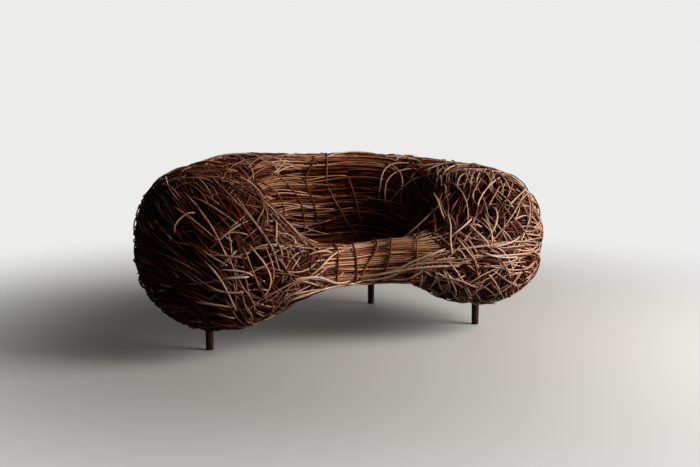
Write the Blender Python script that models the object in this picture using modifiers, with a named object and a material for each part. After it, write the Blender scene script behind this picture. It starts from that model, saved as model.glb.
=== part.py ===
"""A nest-shaped easy chair of rattan: a ring of packed canes on bent poles, with four turned wooden legs.

Metres, +Z up, the front of the chair towards -Y, the origin on the floor under the middle of the plan.
"""

import math

import bmesh
import bpy
import numpy as np
from mathutils.bvhtree import BVHTree
from mathutils.kdtree import KDTree

for old in list(bpy.data.objects):
    bpy.data.objects.remove(old, do_unlink=True)

# Packed wall of canes: distance of its inner face from the middle of the seat, at six places round the ring
BACK_INNER = 0.226
QUARTER_INNER = 0.254
SIDE_INNER = 0.323
LOBE_INNER = 0.320
NOTCH_INNER = 0.287
FRONT_INNER = 0.205

# Distance of its outer face at the same places
BACK_OUTER = 0.431
QUARTER_OUTER = 0.574
SIDE_OUTER = 0.777
LOBE_OUTER = 0.790
NOTCH_OUTER = 0.504
FRONT_OUTER = 0.344

# Height of its rim: over the floor at the back and the arms, over the seat where the front roll dips
BACK_TOP = 0.677
QUARTER_TOP = 0.675
SIDE_TOP = 0.646
LOBE_TOP = 0.584
NOTCH_RISE = 0.066
FRONT_RISE = 0.061

# Height of its underside: over the floor at the back and the arms, and its drop below the seat at the
# front roll
BACK_UNDER = 0.163
QUARTER_UNDER = 0.195
SIDE_UNDER = 0.169
LOBE_UNDER = 0.127
NOTCH_DROP = 0.100
FRONT_DROP = 0.093

# Rattan stock
WALL = 0.022
CANE_DIAMETER = 0.0085
RIDGE_DEPTH = 0.004
WEAVE_DEPTH = 0.010
HOOP_DIAMETER = 0.022
STRINGER_DIAMETER = 0.018

# Seat, held by three bearers on two rails
SEAT_HEIGHT = 0.330
SEAT_THICKNESS = 0.020
SEAT_DISH = 0.020
SEAT_CLEARANCE = 0.004
BEARER_DIAMETER = 0.022
BEARER_SPACING = 0.130
RAIL_DIAMETER = 0.022

# Legs: place from the middle of the seat, and turned shape
FRONT_LEG_OUT = 0.560
FRONT_LEG_FORWARD = 0.147
REAR_LEG_OUT = 0.313
REAR_LEG_BACK = 0.375
LEG_TOP_DIAMETER = 0.032
LEG_FOOT_DIAMETER = 0.028
LEG_CHAMFER = 0.002
LEG_CLEARANCE = 0.002
DOWEL_DIAMETER = 0.008
DOWEL_DEPTH = 0.040
DOWEL_RISE = 0.016

# Fits
GAP = 0.0003
FLAT_BED = 0.001

# Counts and angles, which are not sizes. Degrees go round the ring from the back, positive to the +X side.
STATIONS = (0, 45, 85, 120, 150, 180)
SQUARENESS = 2.4
BACK_END = 60
ARM_END = 142
SPLIT = (-112, 78)
WRAPS = (157.5, 168, 179, 189.5, 201)
TIES = (-45, -27, -3, 12, 27, 45)
RIM_CANES = (64, 84, 100)
ARM_CANES = (0.16, 0.24, 0.32, 0.40)
ARM_CANE_SWEEP = 0.24
WRAP_START = -110
TIE_SPAN = (106, 190)
SECTION_POINTS = 16
ROLL_RIDGES = 24
WRAP_LENGTHS = 18
ARM_RIDGES = 11
WEAVE_ROWS = 22
WEAVE_COLUMNS = 18
BACK_RIDGES = 18
SEAT_RIDGES = 16

wall_faces = []

chair = bpy.data.collections.new("rattan_nest_chair")
cutters = bpy.data.collections.new("cutters")
bpy.context.scene.collection.children.link(chair)
bpy.context.scene.collection.children.link(cutters)
cutters.hide_render = True


def material(name, colour, roughness, metallic=0.0):
    made = bpy.data.materials.new(name)
    made.use_nodes = True
    shader = made.node_tree.nodes["Principled BSDF"]
    shader.inputs["Base Color"].default_value = (*colour, 1.0)
    shader.inputs["Roughness"].default_value = roughness
    shader.inputs["Metallic"].default_value = metallic
    made.diffuse_color = (*colour, 1.0)
    return made


PACKED_CANE = material("packed_cane", (0.16, 0.055, 0.022), 0.55)
LAID_CANE = material("laid_cane", (0.28, 0.092, 0.035), 0.42)
PALE_CANE = material("pale_cane", (0.40, 0.155, 0.062), 0.38)
POLE = material("rattan_pole", (0.22, 0.09, 0.035), 0.5)
DARK_WOOD = material("dark_wood", (0.045, 0.017, 0.009), 0.4)
PEG_WOOD = material("peg_wood", (0.42, 0.25, 0.12), 0.6)


# The shape of the nest


def spline_through(values):
    """A smooth curve over the ring's angle through the values at the stations, level at back and front."""
    x = np.radians(STATIONS)
    y = np.array(values)
    h = np.diff(x)
    count = len(x)
    matrix = np.eye(count)
    right = np.zeros(count)
    for i in range(1, count - 1):
        matrix[i, i - 1] = 1 / h[i - 1]
        matrix[i, i] = 2 / h[i - 1] + 2 / h[i]
        matrix[i, i + 1] = 1 / h[i]
        right[i] = 3 * (y[i] - y[i - 1]) / h[i - 1] ** 2 + 3 * (y[i + 1] - y[i]) / h[i] ** 2
    slope = np.linalg.solve(matrix, right)

    def curve(angle):
        folded = np.abs((np.asarray(angle) + np.pi) % (2 * np.pi) - np.pi)
        k = np.clip(np.searchsorted(x, folded) - 1, 0, count - 2)
        u = (folded - x[k]) / h[k]
        start = (1 + 2 * u) * (1 - u) ** 2 * y[k] + u * (1 - u) ** 2 * h[k] * slope[k]
        end = u**2 * (3 - 2 * u) * y[k + 1] - u**2 * (1 - u) * h[k] * slope[k + 1]
        return start + end

    return curve


inner_at = spline_through((BACK_INNER, QUARTER_INNER, SIDE_INNER, LOBE_INNER, NOTCH_INNER, FRONT_INNER))
outer_at = spline_through((BACK_OUTER, QUARTER_OUTER, SIDE_OUTER, LOBE_OUTER, NOTCH_OUTER, FRONT_OUTER))
roll_tops = (SEAT_HEIGHT + NOTCH_RISE, SEAT_HEIGHT + FRONT_RISE)
top_at = spline_through((BACK_TOP, QUARTER_TOP, SIDE_TOP, LOBE_TOP, *roll_tops))
roll_unders = (SEAT_HEIGHT - NOTCH_DROP, SEAT_HEIGHT - FRONT_DROP)
under_at = spline_through((BACK_UNDER, QUARTER_UNDER, SIDE_UNDER, LOBE_UNDER, *roll_unders))

# The middle of the seat lies a little off the middle of the plan, which is the origin
whole_turn = np.radians(np.arange(0, 360, 0.5))
plan_y = outer_at(whole_turn) * np.cos(whole_turn)
RING_Y = -(plan_y.max() + plan_y.min()) / 2


def section_point(angle, turn, lift=0.0):
    """A point of the wall. The angle goes round the ring; the turn goes round its section, from outside over
    the rim to the seat side; the lift is measured in the plane of the section."""
    angle, turn, lift = np.broadcast_arrays(angle, turn, lift)
    half_width = (outer_at(angle) - inner_at(angle)) / 2
    half_height = (top_at(angle) - under_at(angle)) / 2
    c = np.cos(turn)
    s = np.sin(turn)
    normal_r = np.sign(c) * np.abs(c) ** (2 - 2 / SQUARENESS) / half_width
    normal_z = np.sign(s) * np.abs(s) ** (2 - 2 / SQUARENESS) / half_height
    length = np.hypot(normal_r, normal_z)
    radius = inner_at(angle) + half_width * (1 + np.sign(c) * np.abs(c) ** (2 / SQUARENESS))
    height = under_at(angle) + half_height * (1 + np.sign(s) * np.abs(s) ** (2 / SQUARENESS))
    radius = radius + lift * normal_r / length
    height = height + lift * normal_z / length
    return np.stack([radius * np.sin(angle), radius * np.cos(angle) + RING_Y, height], axis=-1)


def face_normal(angle, turn, lift=0.0):
    """The direction square to the wall's face."""
    step = 1e-3
    along = section_point(angle + step, turn, lift) - section_point(angle - step, turn, lift)
    around = section_point(angle, turn + step, lift) - section_point(angle, turn - step, lift)
    normal = np.cross(around, along)
    return normal / np.linalg.norm(normal, axis=-1, keepdims=True)


def above_wall(angle, turn, distance):
    """A point at a true distance off the outside of the wall."""
    angle, turn, distance = np.broadcast_arrays(angle, turn, distance)
    return section_point(angle, turn) + face_normal(angle, turn) * distance[..., None]


def within_wall(angle, turn, depth):
    """A point in the plane of the section, at a true depth behind the wall's hidden face."""
    angle, turn = np.broadcast_arrays(angle, turn)
    face = section_point(angle, turn, -WALL)
    inward = (section_point(angle, turn, -WALL - 0.001) - face) / 0.001
    share = -np.sum(inward * face_normal(angle, turn, -WALL), axis=-1, keepdims=True)
    return face + inward * depth / share


def turns_at(angle, start, stop, shares):
    """Turns at shares of the length of one section between two turns in degrees."""
    fine = np.radians(np.linspace(start, stop, 721))
    points = section_point(angle, fine)
    length = np.concatenate([[0], np.cumsum(np.linalg.norm(np.diff(points, axis=0), axis=1))])
    return np.interp(np.asarray(shares) * length[-1], length, fine)


def even_turns(angle, start, stop, count):
    """Turns that divide part of one section into equal lengths; count is the number of lengths."""
    return turns_at(angle, start, stop, np.linspace(0, 1, count + 1))


def inner_turn(angle, height):
    """The turn at which the seat side of the wall has this height."""
    half_height = (top_at(angle) - under_at(angle)) / 2
    rise = (height - under_at(angle)) / half_height - 1
    return np.pi - np.arcsin(np.sign(rise) * np.abs(rise) ** (SQUARENESS / 2))


# Ways of making a piece


def add(name, data, look, group=chair):
    made = bpy.data.objects.new(name, data)
    group.objects.link(made)
    if look:
        data.materials.append(look)
    return made


def tube(name, points, diameter, look, closed=False, group=chair, fine=True):
    """A round pole or cane along a line of points, with eight sides or, for a thin one, six."""
    curve = bpy.data.curves.new(name, "CURVE")
    curve.dimensions = "3D"
    curve.bevel_depth = diameter / 2
    curve.bevel_resolution = 2 if fine else 1
    curve.use_fill_caps = True
    line = curve.splines.new("POLY")
    line.points.add(len(points) - 1)
    for spot, place in zip(line.points, points):
        spot.co = (*place, 1.0)
    line.use_cyclic_u = closed
    return add(name, curve, look, group)


def as_mesh(curve, group=chair):
    """The same tube as a mesh, so that a Boolean can cut it or cut with it."""
    bpy.context.view_layer.update()
    graph = bpy.context.evaluated_depsgraph_get()
    data = bpy.data.meshes.new_from_object(curve.evaluated_get(graph))
    name = curve.name
    bpy.data.objects.remove(curve)
    shape = bmesh.new()
    shape.from_mesh(data)
    bmesh.ops.remove_doubles(shape, verts=shape.verts, dist=1e-6)
    bmesh.ops.recalc_face_normals(shape, faces=shape.faces)
    shape.to_mesh(data)
    shape.free()
    made = bpy.data.objects.new(name, data)
    group.objects.link(made)
    return made


def cut(target, cutter):
    change = target.modifiers.new("cut_" + cutter.name, "BOOLEAN")
    change.operation = "DIFFERENCE"
    change.solver = "EXACT"
    change.object = cutter


def rod_cutter(name, x, y, low, high, diameter):
    """A plain upright cylinder that cuts a hole."""
    shape = bmesh.new()
    bmesh.ops.create_cone(
        shape, cap_ends=True, segments=16, radius1=diameter / 2, radius2=diameter / 2, depth=high - low
    )
    bmesh.ops.translate(shape, verts=shape.verts, vec=(x, y, (low + high) / 2))
    data = bpy.data.meshes.new(name)
    shape.to_mesh(data)
    shape.free()
    made = add(name, data, None, cutters)
    made.display_type = "WIRE"
    return made


def turned(name, profile, x, y, look):
    """A turned piece: a profile of (radius, height) pairs swept once round an upright axis."""
    data = bpy.data.meshes.new(name)
    points = [(radius, 0.0, height) for radius, height in profile]
    edges = [(i, i + 1) for i in range(len(points) - 1)]
    data.from_pydata(points, edges, [])
    made = add(name, data, look)
    made.location = (x, y, 0.0)
    sweep = made.modifiers.new("turning", "SCREW")
    sweep.steps = 16
    sweep.render_steps = 16
    sweep.use_merge_vertices = True
    sweep.merge_threshold = 0.00001
    sweep.use_normal_calculate = True
    return made


def walled(name, face, hidden, look, closed, woven=False):
    """A wall lofted from rows of points on its face and fewer points on its hidden side. On a woven face
    every second point is high, and the facets meet in ridges that join the high points and cross each other."""
    rows, face_count = face.shape[:2]
    hidden_count = hidden.shape[1]
    cells = hidden_count if closed else hidden_count - 1
    each = face_count // cells
    shape = bmesh.new()
    outside = [[shape.verts.new(p) for p in row] for row in face]
    inside = [[shape.verts.new(p) for p in row] for row in hidden]
    for i in range(rows - 1):
        for j in range(cells * each):
            k = (j + 1) % face_count
            corners = [outside[i][j], outside[i][k], outside[i + 1][k], outside[i + 1][j]]
            if woven:
                first = (i + j) % 2
                corners = corners[first:] + corners[:first]
                shape.faces.new(corners[:3])
                del corners[1]
            shape.faces.new(corners)
        for j in range(cells):
            k = (j + 1) % hidden_count
            shape.faces.new((inside[i][j], inside[i + 1][j], inside[i + 1][k], inside[i][k]))
        if not closed:
            for end in (0, -1):
                corners = (outside[i][end], outside[i + 1][end], inside[i + 1][end], inside[i][end])
                shape.faces.new(corners)
    for end in (0, -1):
        for j in range(cells):
            rim = [outside[end][(j * each + n) % face_count] for n in range(each + 1)]
            shape.faces.new([*rim, inside[end][(j + 1) % hidden_count], inside[end][j]])
    bmesh.ops.triangulate(shape, faces=shape.faces)
    bmesh.ops.recalc_face_normals(shape, faces=shape.faces)
    data = bpy.data.meshes.new(name)
    shape.to_mesh(data)
    shape.free()
    return add(name, data, look)


def nest_wall(name, degrees, look, columns, split=None, woven=False):
    """One length of the ring's wall, with a groove in every third column between the canes laid along it or,
    where it is woven, with crossing ridges. A split takes only part of the section."""
    face = []
    hidden = []
    for row, degree in enumerate(degrees):
        angle = math.radians(degree)
        turns = even_turns(angle, *(split or (0, 360)), columns)
        if not split:
            turns = turns[:-1]
        column = np.arange(len(turns))
        if woven:
            lift = -WEAVE_DEPTH * ((row + column) % 2)
        else:
            lift = -RIDGE_DEPTH * (column % 3 == 0)
        face.append(section_point(angle, turns, lift))
        hidden.append(section_point(angle, turns[::3], -WALL))
    made = walled(name, np.array(face), np.array(hidden), look, not split, woven)
    made.data.calc_loop_triangles()
    corners = [tuple(v.co) for v in made.data.vertices]
    sides = [tuple(f.vertices) for f in made.data.loop_triangles]
    wall_faces.append(BVHTree.FromPolygons(corners, sides))
    return made


def settled(line_at, radius):
    """The line of points, moved off the walls or into the nest until its nearest approach leaves just the
    gap. line_at gives the points at a distance from the face that they follow."""
    distance = radius + GAP
    for _ in range(4):
        points = line_at(distance)
        shares = np.linspace(0, 1, 31)[:-1, None, None]
        between = points[None, :-1] * (1 - shares) + points[None, 1:] * shares
        near = 1.0
        for spot in between.reshape(-1, 3):
            for tree in wall_faces:
                found = tree.find_nearest(spot, 0.08)
                if found[3] is not None:
                    near = min(near, found[3])
        distance += radius + GAP - near
    return line_at(distance), distance


# Legs, and the angle of the hoop that each one is fixed to

front_angle = math.atan2(FRONT_LEG_OUT, -FRONT_LEG_FORWARD)
rear_angle = math.atan2(REAR_LEG_OUT, REAR_LEG_BACK)
leg_places = {
    "front_left": (-front_angle, math.hypot(FRONT_LEG_OUT, FRONT_LEG_FORWARD)),
    "front_right": (front_angle, math.hypot(FRONT_LEG_OUT, FRONT_LEG_FORWARD)),
    "rear_left": (-rear_angle, math.hypot(REAR_LEG_OUT, REAR_LEG_BACK)),
    "rear_right": (rear_angle, math.hypot(REAR_LEG_OUT, REAR_LEG_BACK)),
}
leg_spots = [(r * math.sin(a), r * math.cos(a) + RING_Y) for a, r in leg_places.values()]
front_degree = math.degrees(front_angle)
rear_degree = math.degrees(rear_angle)

# Rows of the walls: they fall on every hoop, wrap and tie, so that each of these lies on an edge of the
# facets. On the woven outside of the arms the rows are evenly spaced.

back_rows = sorted({-BACK_END, -rear_degree, -12, 12, rear_degree, BACK_END, *TIES})
seam = math.degrees(GAP / 0.3)
back_rows = [-BACK_END + seam, *back_rows[1:-1], BACK_END - seam]
arm_rows = [BACK_END, 72, 83, 94, front_degree, 117, 129, ARM_END]
weave_rows = np.linspace(BACK_END, ARM_END, WEAVE_ROWS + 1)
roll_rows = [ARM_END + seam, 150, *WRAPS, 210, 360 - ARM_END - seam]

# Walls of the nest

split_seam = 0.4
outer_split = (SPLIT[0] + split_seam, SPLIT[1] - split_seam)
inner_split = (SPLIT[1], SPLIT[0] + 360)
arm_outers = {}
for hand, way in (("left", -1), ("right", 1)):
    name = f"{hand}_arm_outer_wall"
    arm_outers[hand] = nest_wall(name, way * weave_rows, PACKED_CANE, WEAVE_COLUMNS, outer_split, True)
    rows = [way * degree for degree in arm_rows]
    nest_wall(f"{hand}_arm_inner_wall", rows, PACKED_CANE, ARM_RIDGES * 3, inner_split)
back_outer = nest_wall("back_outer_wall", back_rows, PACKED_CANE, BACK_RIDGES * 3, outer_split)
nest_wall("back_inner_canes", back_rows, LAID_CANE, BACK_RIDGES * 3, inner_split)
nest_wall("front_roll_canes", roll_rows, LAID_CANE, ROLL_RIDGES * 3)

# Frame: hoops in the plane of a section, and stringers that run round the ring inside them. The front roll
# has no hoop, so there the stringers run nearer its wall.

hoop_degrees = {
    "hoop_back_left": -12,
    "hoop_back_right": 12,
    "hoop_rear_leg_left": -rear_degree,
    "hoop_rear_leg_right": rear_degree,
    "hoop_side_left": -72,
    "hoop_side_right": 72,
    "hoop_front_leg_left": -front_degree,
    "hoop_front_leg_right": front_degree,
    "hoop_notch_left": -ARM_END,
    "hoop_notch_right": ARM_END,
}
hoop_lines = {}
hoop_depths = []
hoops = {}
for name, degree in hoop_degrees.items():
    angle = math.radians(degree)
    turns = even_turns(angle, 0, 360, SECTION_POINTS)
    closed_line, depth = settled(lambda d, a=angle, t=turns: within_wall(a, t, d), HOOP_DIAMETER / 2)
    hoop_lines[name] = closed_line[:-1]
    hoop_depths.append(depth)
    hoops[name] = tube(name, hoop_lines[name], HOOP_DIAMETER, POLE, True)


def along(points):
    """Many spots along a closed line of points."""
    shares = np.linspace(0, 1, 25)[:, None, None]
    return (points * (1 - shares) + np.roll(points, -1, axis=0) * shares).reshape(-1, 3)


hoop_spots = np.concatenate([along(line) for line in hoop_lines.values()])
hoop_tree = KDTree(len(hoop_spots))
for number, spot in enumerate(hoop_spots):
    hoop_tree.insert(spot, number)
hoop_tree.balance()
stringer_degrees = sorted({*hoop_degrees.values(), -160, 180, 160, -125, 125, -90, 90, -56, 56, 0, 26, -26})
stringers = {"outer_belt_pole": (0, 0.0), "top_rim_pole": (4, FLAT_BED), "base_pole": (10, FLAT_BED)}
for name, (step, bed) in stringers.items():
    apart = HOOP_DIAMETER / 2 + GAP + STRINGER_DIAMETER / 2 - bed
    below = apart
    for _ in range(5):
        line = []
        for degree in stringer_degrees:
            angle = math.radians(degree)
            turn = even_turns(angle, 0, 360, SECTION_POINTS)[step]
            depth = np.interp(degree, list(hoop_degrees.values()), hoop_depths, period=360)
            if abs(degree) > ARM_END:
                depth -= 0.7 * HOOP_DIAMETER
            line.append(within_wall(angle, turn, depth + below))
        below += apart - min(hoop_tree.find(spot)[2] for spot in along(np.array(line)))
    tube(name, line, STRINGER_DIAMETER, POLE, True)

# Legs, coped to their hoops and pegged to them

for side, (angle, radius) in leg_places.items():
    x = radius * math.sin(angle)
    y = radius * math.cos(angle) + RING_Y
    end, hand = side.split("_")
    hoop_name = f"hoop_{end}_leg_{hand}"
    line = hoop_lines[hoop_name]
    reach = np.hypot(line[:, 0], line[:, 1] - RING_Y)
    lower = np.arange(SECTION_POINTS // 2, SECTION_POINTS + 1) % SECTION_POINTS
    joint = float(np.interp(radius, reach[lower], line[lower, 2]))
    foot = LEG_FOOT_DIAMETER / 2
    bore = DOWEL_DIAMETER / 2 + GAP
    profile = [
        (0.0, 0.0),
        (foot - LEG_CHAMFER, 0.0),
        (foot, LEG_CHAMFER),
        (LEG_TOP_DIAMETER / 2, joint),
        (bore, joint),
        (bore, joint - DOWEL_DEPTH),
        (0.0, joint - DOWEL_DEPTH),
    ]
    leg = turned(f"leg_{side}", profile, x, y, DARK_WOOD)
    saddle = tube(f"saddle_{side}", line, HOOP_DIAMETER + 2 * GAP, None, True, cutters)
    saddle = as_mesh(saddle, cutters)
    saddle.display_type = "WIRE"
    cut(leg, saddle)
    pin = DOWEL_DIAMETER / 2
    low = joint - DOWEL_DEPTH + GAP
    high = joint + DOWEL_RISE
    pin_profile = [
        (0.0, low),
        (pin - 0.001, low),
        (pin, low + 0.001),
        (pin, high - 0.001),
        (pin - 0.001, high),
        (0.0, high),
    ]
    turned(f"dowel_{side}", pin_profile, x, y, PEG_WOOD)
    hole = rod_cutter(f"dowel_hole_{side}", x, y, joint - 0.05, joint + 0.05, 2 * bore)
    hoops[hoop_name] = as_mesh(hoops[hoop_name])
    cut(hoops[hoop_name], hole)
    through = LEG_TOP_DIAMETER + 2 * LEG_CLEARANCE
    opening = rod_cutter(f"leg_hole_{side}", x, y, 0.05, joint + 0.01, through)
    cut(back_outer if end == "rear" else arm_outers[hand], opening)

# Seat: a dished panel of lengthwise canes that drops between the arms, on bearers and rails

seat_under = SEAT_HEIGHT - SEAT_THICKNESS
bearer_height = seat_under - GAP - BEARER_DIAMETER / 2
rail_height = bearer_height - BEARER_DIAMETER / 2 - GAP - RAIL_DIAMETER / 2


def seat_edge(angle):
    """Reach of the seat at this angle, clear of the wall over the panel's whole thickness."""
    reach = []
    for height in np.linspace(seat_under, SEAT_HEIGHT + SEAT_DISH, 7):
        point = section_point(angle, inner_turn(angle, height))
        reach.append(np.hypot(point[..., 0], point[..., 1] - RING_Y))
    return np.min(reach, axis=0) - SEAT_CLEARANCE


half_turn = np.radians(np.linspace(0, 180, 361))
edge_x = seat_edge(half_turn) * np.sin(half_turn)
edge_y = seat_edge(half_turn) * np.cos(half_turn)
widest = int(edge_x.argmax())
seat_face = []
seat_hidden = []
for share in np.sin(np.radians(np.linspace(-80, 80, 11))):
    x = share * edge_x[widest]
    front = np.interp(abs(x), edge_x[widest:][::-1], edge_y[widest:][::-1])
    rear = np.interp(abs(x), edge_x[: widest + 1], edge_y[: widest + 1])
    y = np.linspace(front, rear, SEAT_RIDGES * 3 + 1) + RING_Y
    lift = np.where(np.arange(len(y)) % 3 == 0, -RIDGE_DEPTH, 0.0)
    height = SEAT_HEIGHT + SEAT_DISH * abs(share) ** 3 + lift
    seat_face.append(np.stack([np.full(len(y), x), y, height], axis=-1))
    seat_hidden.append(np.stack([np.full(len(y), x), y, np.full(len(y), seat_under)], axis=-1)[::3])
walled("seat_canes", np.array(seat_face), np.array(seat_hidden), LAID_CANE, False)

rail_lines = {}
for name, start, stop in (("seat_rail_rear", -48, 48), ("seat_rail_front", 132, 228)):
    angles = np.radians(np.linspace(start, stop, 13))
    turns = inner_turn(angles, rail_height)
    level = np.array([1, 1, 0])
    line, _ = settled(
        lambda d, a=angles, t=turns: above_wall(a, t, d) * level + [0, 0, rail_height], RAIL_DIAMETER / 2
    )
    rail_lines[name] = line
    tube(name, line, RAIL_DIAMETER, POLE)
for number, x in enumerate((-BEARER_SPACING, 0.0, BEARER_SPACING), start=1):
    rear = rail_lines["seat_rail_rear"]
    front = rail_lines["seat_rail_front"][::-1]
    y_rear = np.interp(x, rear[:, 0], rear[:, 1])
    y_front = np.interp(x, front[:, 0], front[:, 1])
    ends = [(x, y_front, bearer_height), (x, y_rear, bearer_height)]
    tube(f"seat_bearer_{number}", ends, BEARER_DIAMETER, POLE)

# Canes over the walls: wraps that bind the front roll, ties on the back, canes along the rim and the arms


def cane(name, angles, turns, look):
    line, _ = settled(lambda d: above_wall(angles, turns, d), CANE_DIAMETER / 2)
    tube(name, line, CANE_DIAMETER, look, fine=False)


for number, degree in enumerate(WRAPS, start=1):
    angle = math.radians(degree)
    last = math.degrees(inner_turn(angle, SEAT_HEIGHT + SEAT_DISH + CANE_DIAMETER))
    cane(f"roll_wrap_{number}", angle, even_turns(angle, WRAP_START, last, WRAP_LENGTHS), PALE_CANE)
for number, degree in enumerate(TIES, start=1):
    angle = math.radians(degree)
    cane(f"back_tie_{number}", angle, even_turns(angle, *TIE_SPAN, 10), LAID_CANE)
for number, turn in enumerate(RIM_CANES, start=1):
    angles = np.radians(np.linspace(-BACK_END + 4, BACK_END - 4, 13))
    cane(f"rim_cane_{number}", angles, math.radians(turn), PALE_CANE)
for number, share in enumerate(ARM_CANES, start=1):
    degrees = np.linspace(BACK_END + 4, ARM_END - 4, 13)
    shares = share - ARM_CANE_SWEEP * np.linspace(0, 1, 13)
    angles = np.radians(degrees)
    turns = np.array([turns_at(a, -180, 180, 0.5 + f) for a, f in zip(angles, shares)])
    cane(f"right_arm_cane_{number}", angles, turns, PALE_CANE)
    cane(f"left_arm_cane_{number}", -angles, turns, PALE_CANE)
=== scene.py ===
# %% [markdown]
# # A nest chair of rattan
# The chair is a kidney-shaped ring of canes round a low seat. The lobes at the sides and the outside are a
# tangle of separate canes, while the back, the seat and the front roll are canes laid side by side and
# bound. It could be one sculpted shell with a bumpy finish, but a nest is known by its gaps and loose ends.
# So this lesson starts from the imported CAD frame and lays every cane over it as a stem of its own.

# %% Load the frame
import math

import bpy
import numpy as np
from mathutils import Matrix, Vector


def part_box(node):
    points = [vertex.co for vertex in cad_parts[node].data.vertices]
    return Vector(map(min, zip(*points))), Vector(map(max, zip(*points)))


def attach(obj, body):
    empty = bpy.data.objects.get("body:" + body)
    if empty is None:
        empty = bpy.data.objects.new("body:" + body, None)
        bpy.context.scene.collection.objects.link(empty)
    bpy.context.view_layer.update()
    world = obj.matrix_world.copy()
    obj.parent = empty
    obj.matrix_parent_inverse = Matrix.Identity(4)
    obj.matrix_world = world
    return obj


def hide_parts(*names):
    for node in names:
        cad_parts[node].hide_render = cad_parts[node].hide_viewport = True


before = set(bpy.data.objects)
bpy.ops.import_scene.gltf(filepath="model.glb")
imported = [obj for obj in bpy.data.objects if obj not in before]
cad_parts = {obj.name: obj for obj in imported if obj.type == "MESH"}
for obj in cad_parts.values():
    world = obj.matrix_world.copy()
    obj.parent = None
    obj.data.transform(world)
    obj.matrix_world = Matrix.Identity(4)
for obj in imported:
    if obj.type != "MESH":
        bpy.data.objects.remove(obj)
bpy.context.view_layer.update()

bpy.ops.object.select_all(action="DESELECT")
rng = np.random.default_rng(7)
print("CAD nodes:", len(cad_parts))

# %% [markdown]
# ## The shape that the canes follow
# A real nest is built over bent hoops, so every cane lies on one smooth ring. The ring could be modelled as
# a mesh and the canes projected on it, but a formula gives any point and its normal at once. It is
# described as in the CAD source: six stations from the back to the front give the reach and the height of a
# rounded section. An angle goes round the ring (0 at the back, 180 at the front, positive to the right),
# and a turn goes round the section (0 outside, 90 on the rim, 180 on the seat side, -90 underneath). The
# weaving makes the left lobe a little fuller than the right one, and the bound roll swells a little on both
# sides of its middle.

# %% Ring
STATIONS = np.radians([0, 45, 85, 120, 150, 180])
INNER = np.array([0.226, 0.254, 0.323, 0.320, 0.287, 0.205])
OUTER = np.array([0.431, 0.574, 0.777, 0.790, 0.504, 0.344])
TOP = np.array([0.677, 0.675, 0.646, 0.584, 0.396, 0.391])
UNDER = np.array([0.163, 0.195, 0.169, 0.127, 0.230, 0.237])
LEFT_TOP_GAIN = np.array([0, 0.012, 0.010, 0.002, 0, 0])
LEFT_UNDER_GAIN = np.array([0, 0, -0.006, -0.013, 0.012, 0])
ROLL_SWELLS = ((159.5, 11, 0.026), (202.5, 10, 0.021))  # middle and spread in degrees, height
SQUARENESS = 2.4
RING_Y = 0.01553


def through(values):
    """A smooth curve over the angle through one value at each station, level at the back and the front."""
    gap = np.diff(STATIONS)
    last = len(values) - 1
    matrix = np.eye(last + 1)
    right = np.zeros(last + 1)
    for i in range(1, last):
        matrix[i, i - 1 : i + 2] = 1 / gap[i - 1], 2 / gap[i - 1] + 2 / gap[i], 1 / gap[i]
        right[i] = 3 * (values[i] - values[i - 1]) / gap[i - 1] ** 2
        right[i] += 3 * (values[i + 1] - values[i]) / gap[i] ** 2
    slope = np.linalg.solve(matrix, right)

    def curve(angle):
        folded = np.abs((angle + np.pi) % (2 * np.pi) - np.pi)
        span = np.clip(np.searchsorted(STATIONS, folded) - 1, 0, last - 1)
        part = (folded - STATIONS[span]) / gap[span]
        start = (1 + 2 * part) * (1 - part) ** 2 * values[span]
        start += part * (1 - part) ** 2 * gap[span] * slope[span]
        end = part**2 * (3 - 2 * part) * values[span + 1]
        end -= part**2 * (1 - part) * gap[span] * slope[span + 1]
        return start + end

    return curve


def two_sided(values, left_gain):
    """A curve whose left half has a gain of its own."""
    right, left = through(values), through(values + left_gain)
    return lambda angle: np.where((angle + np.pi) % (2 * np.pi) < np.pi, left(angle), right(angle))


inner_at, outer_at = through(INNER), through(OUTER)
rim_at, under_at = two_sided(TOP, LEFT_TOP_GAIN), two_sided(UNDER, LEFT_UNDER_GAIN)


def top_at(angle):
    """The height of the rim, with the swells of the roll."""
    degrees = np.degrees(angle) % 360
    height = rim_at(angle)
    for middle, spread, gain in ROLL_SWELLS:
        height = height + gain * np.exp(-(((degrees - middle) / spread) ** 2))
    return height


print("rim at the back:", round(float(top_at(np.zeros(1))[0]), 3), "m")

# %% [markdown]
# ## The face of the wall
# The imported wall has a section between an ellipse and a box, as a bundle of stems has when it is pulled
# over a hoop. A superellipse gives it with one number. The normal at a point comes from two small steps
# along the wall, which is exact enough here and spares the algebra.

# %% Wall


def wall(angle, turn):
    """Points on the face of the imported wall."""
    angle, turn = np.broadcast_arrays(angle, turn)
    half_width = (outer_at(angle) - inner_at(angle)) / 2
    half_height = (top_at(angle) - under_at(angle)) / 2
    out, up = np.cos(turn), np.sin(turn)
    radius = inner_at(angle) + half_width * (1 + np.sign(out) * np.abs(out) ** (2 / SQUARENESS))
    height = under_at(angle) + half_height * (1 + np.sign(up) * np.abs(up) ** (2 / SQUARENESS))
    return np.stack([radius * np.sin(angle), radius * np.cos(angle) + RING_Y, height], axis=-1)


def slopes(angle, turn):
    """How fast a point of the wall moves with the angle and with the turn."""
    step = 2e-3
    by_angle = (wall(angle + step, turn) - wall(angle - step, turn)) / (2 * step)
    by_turn = (wall(angle, turn + step) - wall(angle, turn - step)) / (2 * step)
    return by_angle, by_turn


def unit(vectors):
    """The same directions with a length of one."""
    return vectors / np.maximum(np.linalg.norm(vectors, axis=-1, keepdims=True), 1e-12)


def normal(angle, turn):
    """The way out of the wall."""
    by_angle, by_turn = slopes(angle, turn)
    return unit(np.cross(by_turn, by_angle))


def smooth(low, high, value):
    """0 up to low, 1 from high on, with a soft ramp between."""
    part = np.clip((value - low) / (high - low), 0, 1)
    return part * part * (3 - 2 * part)


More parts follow.
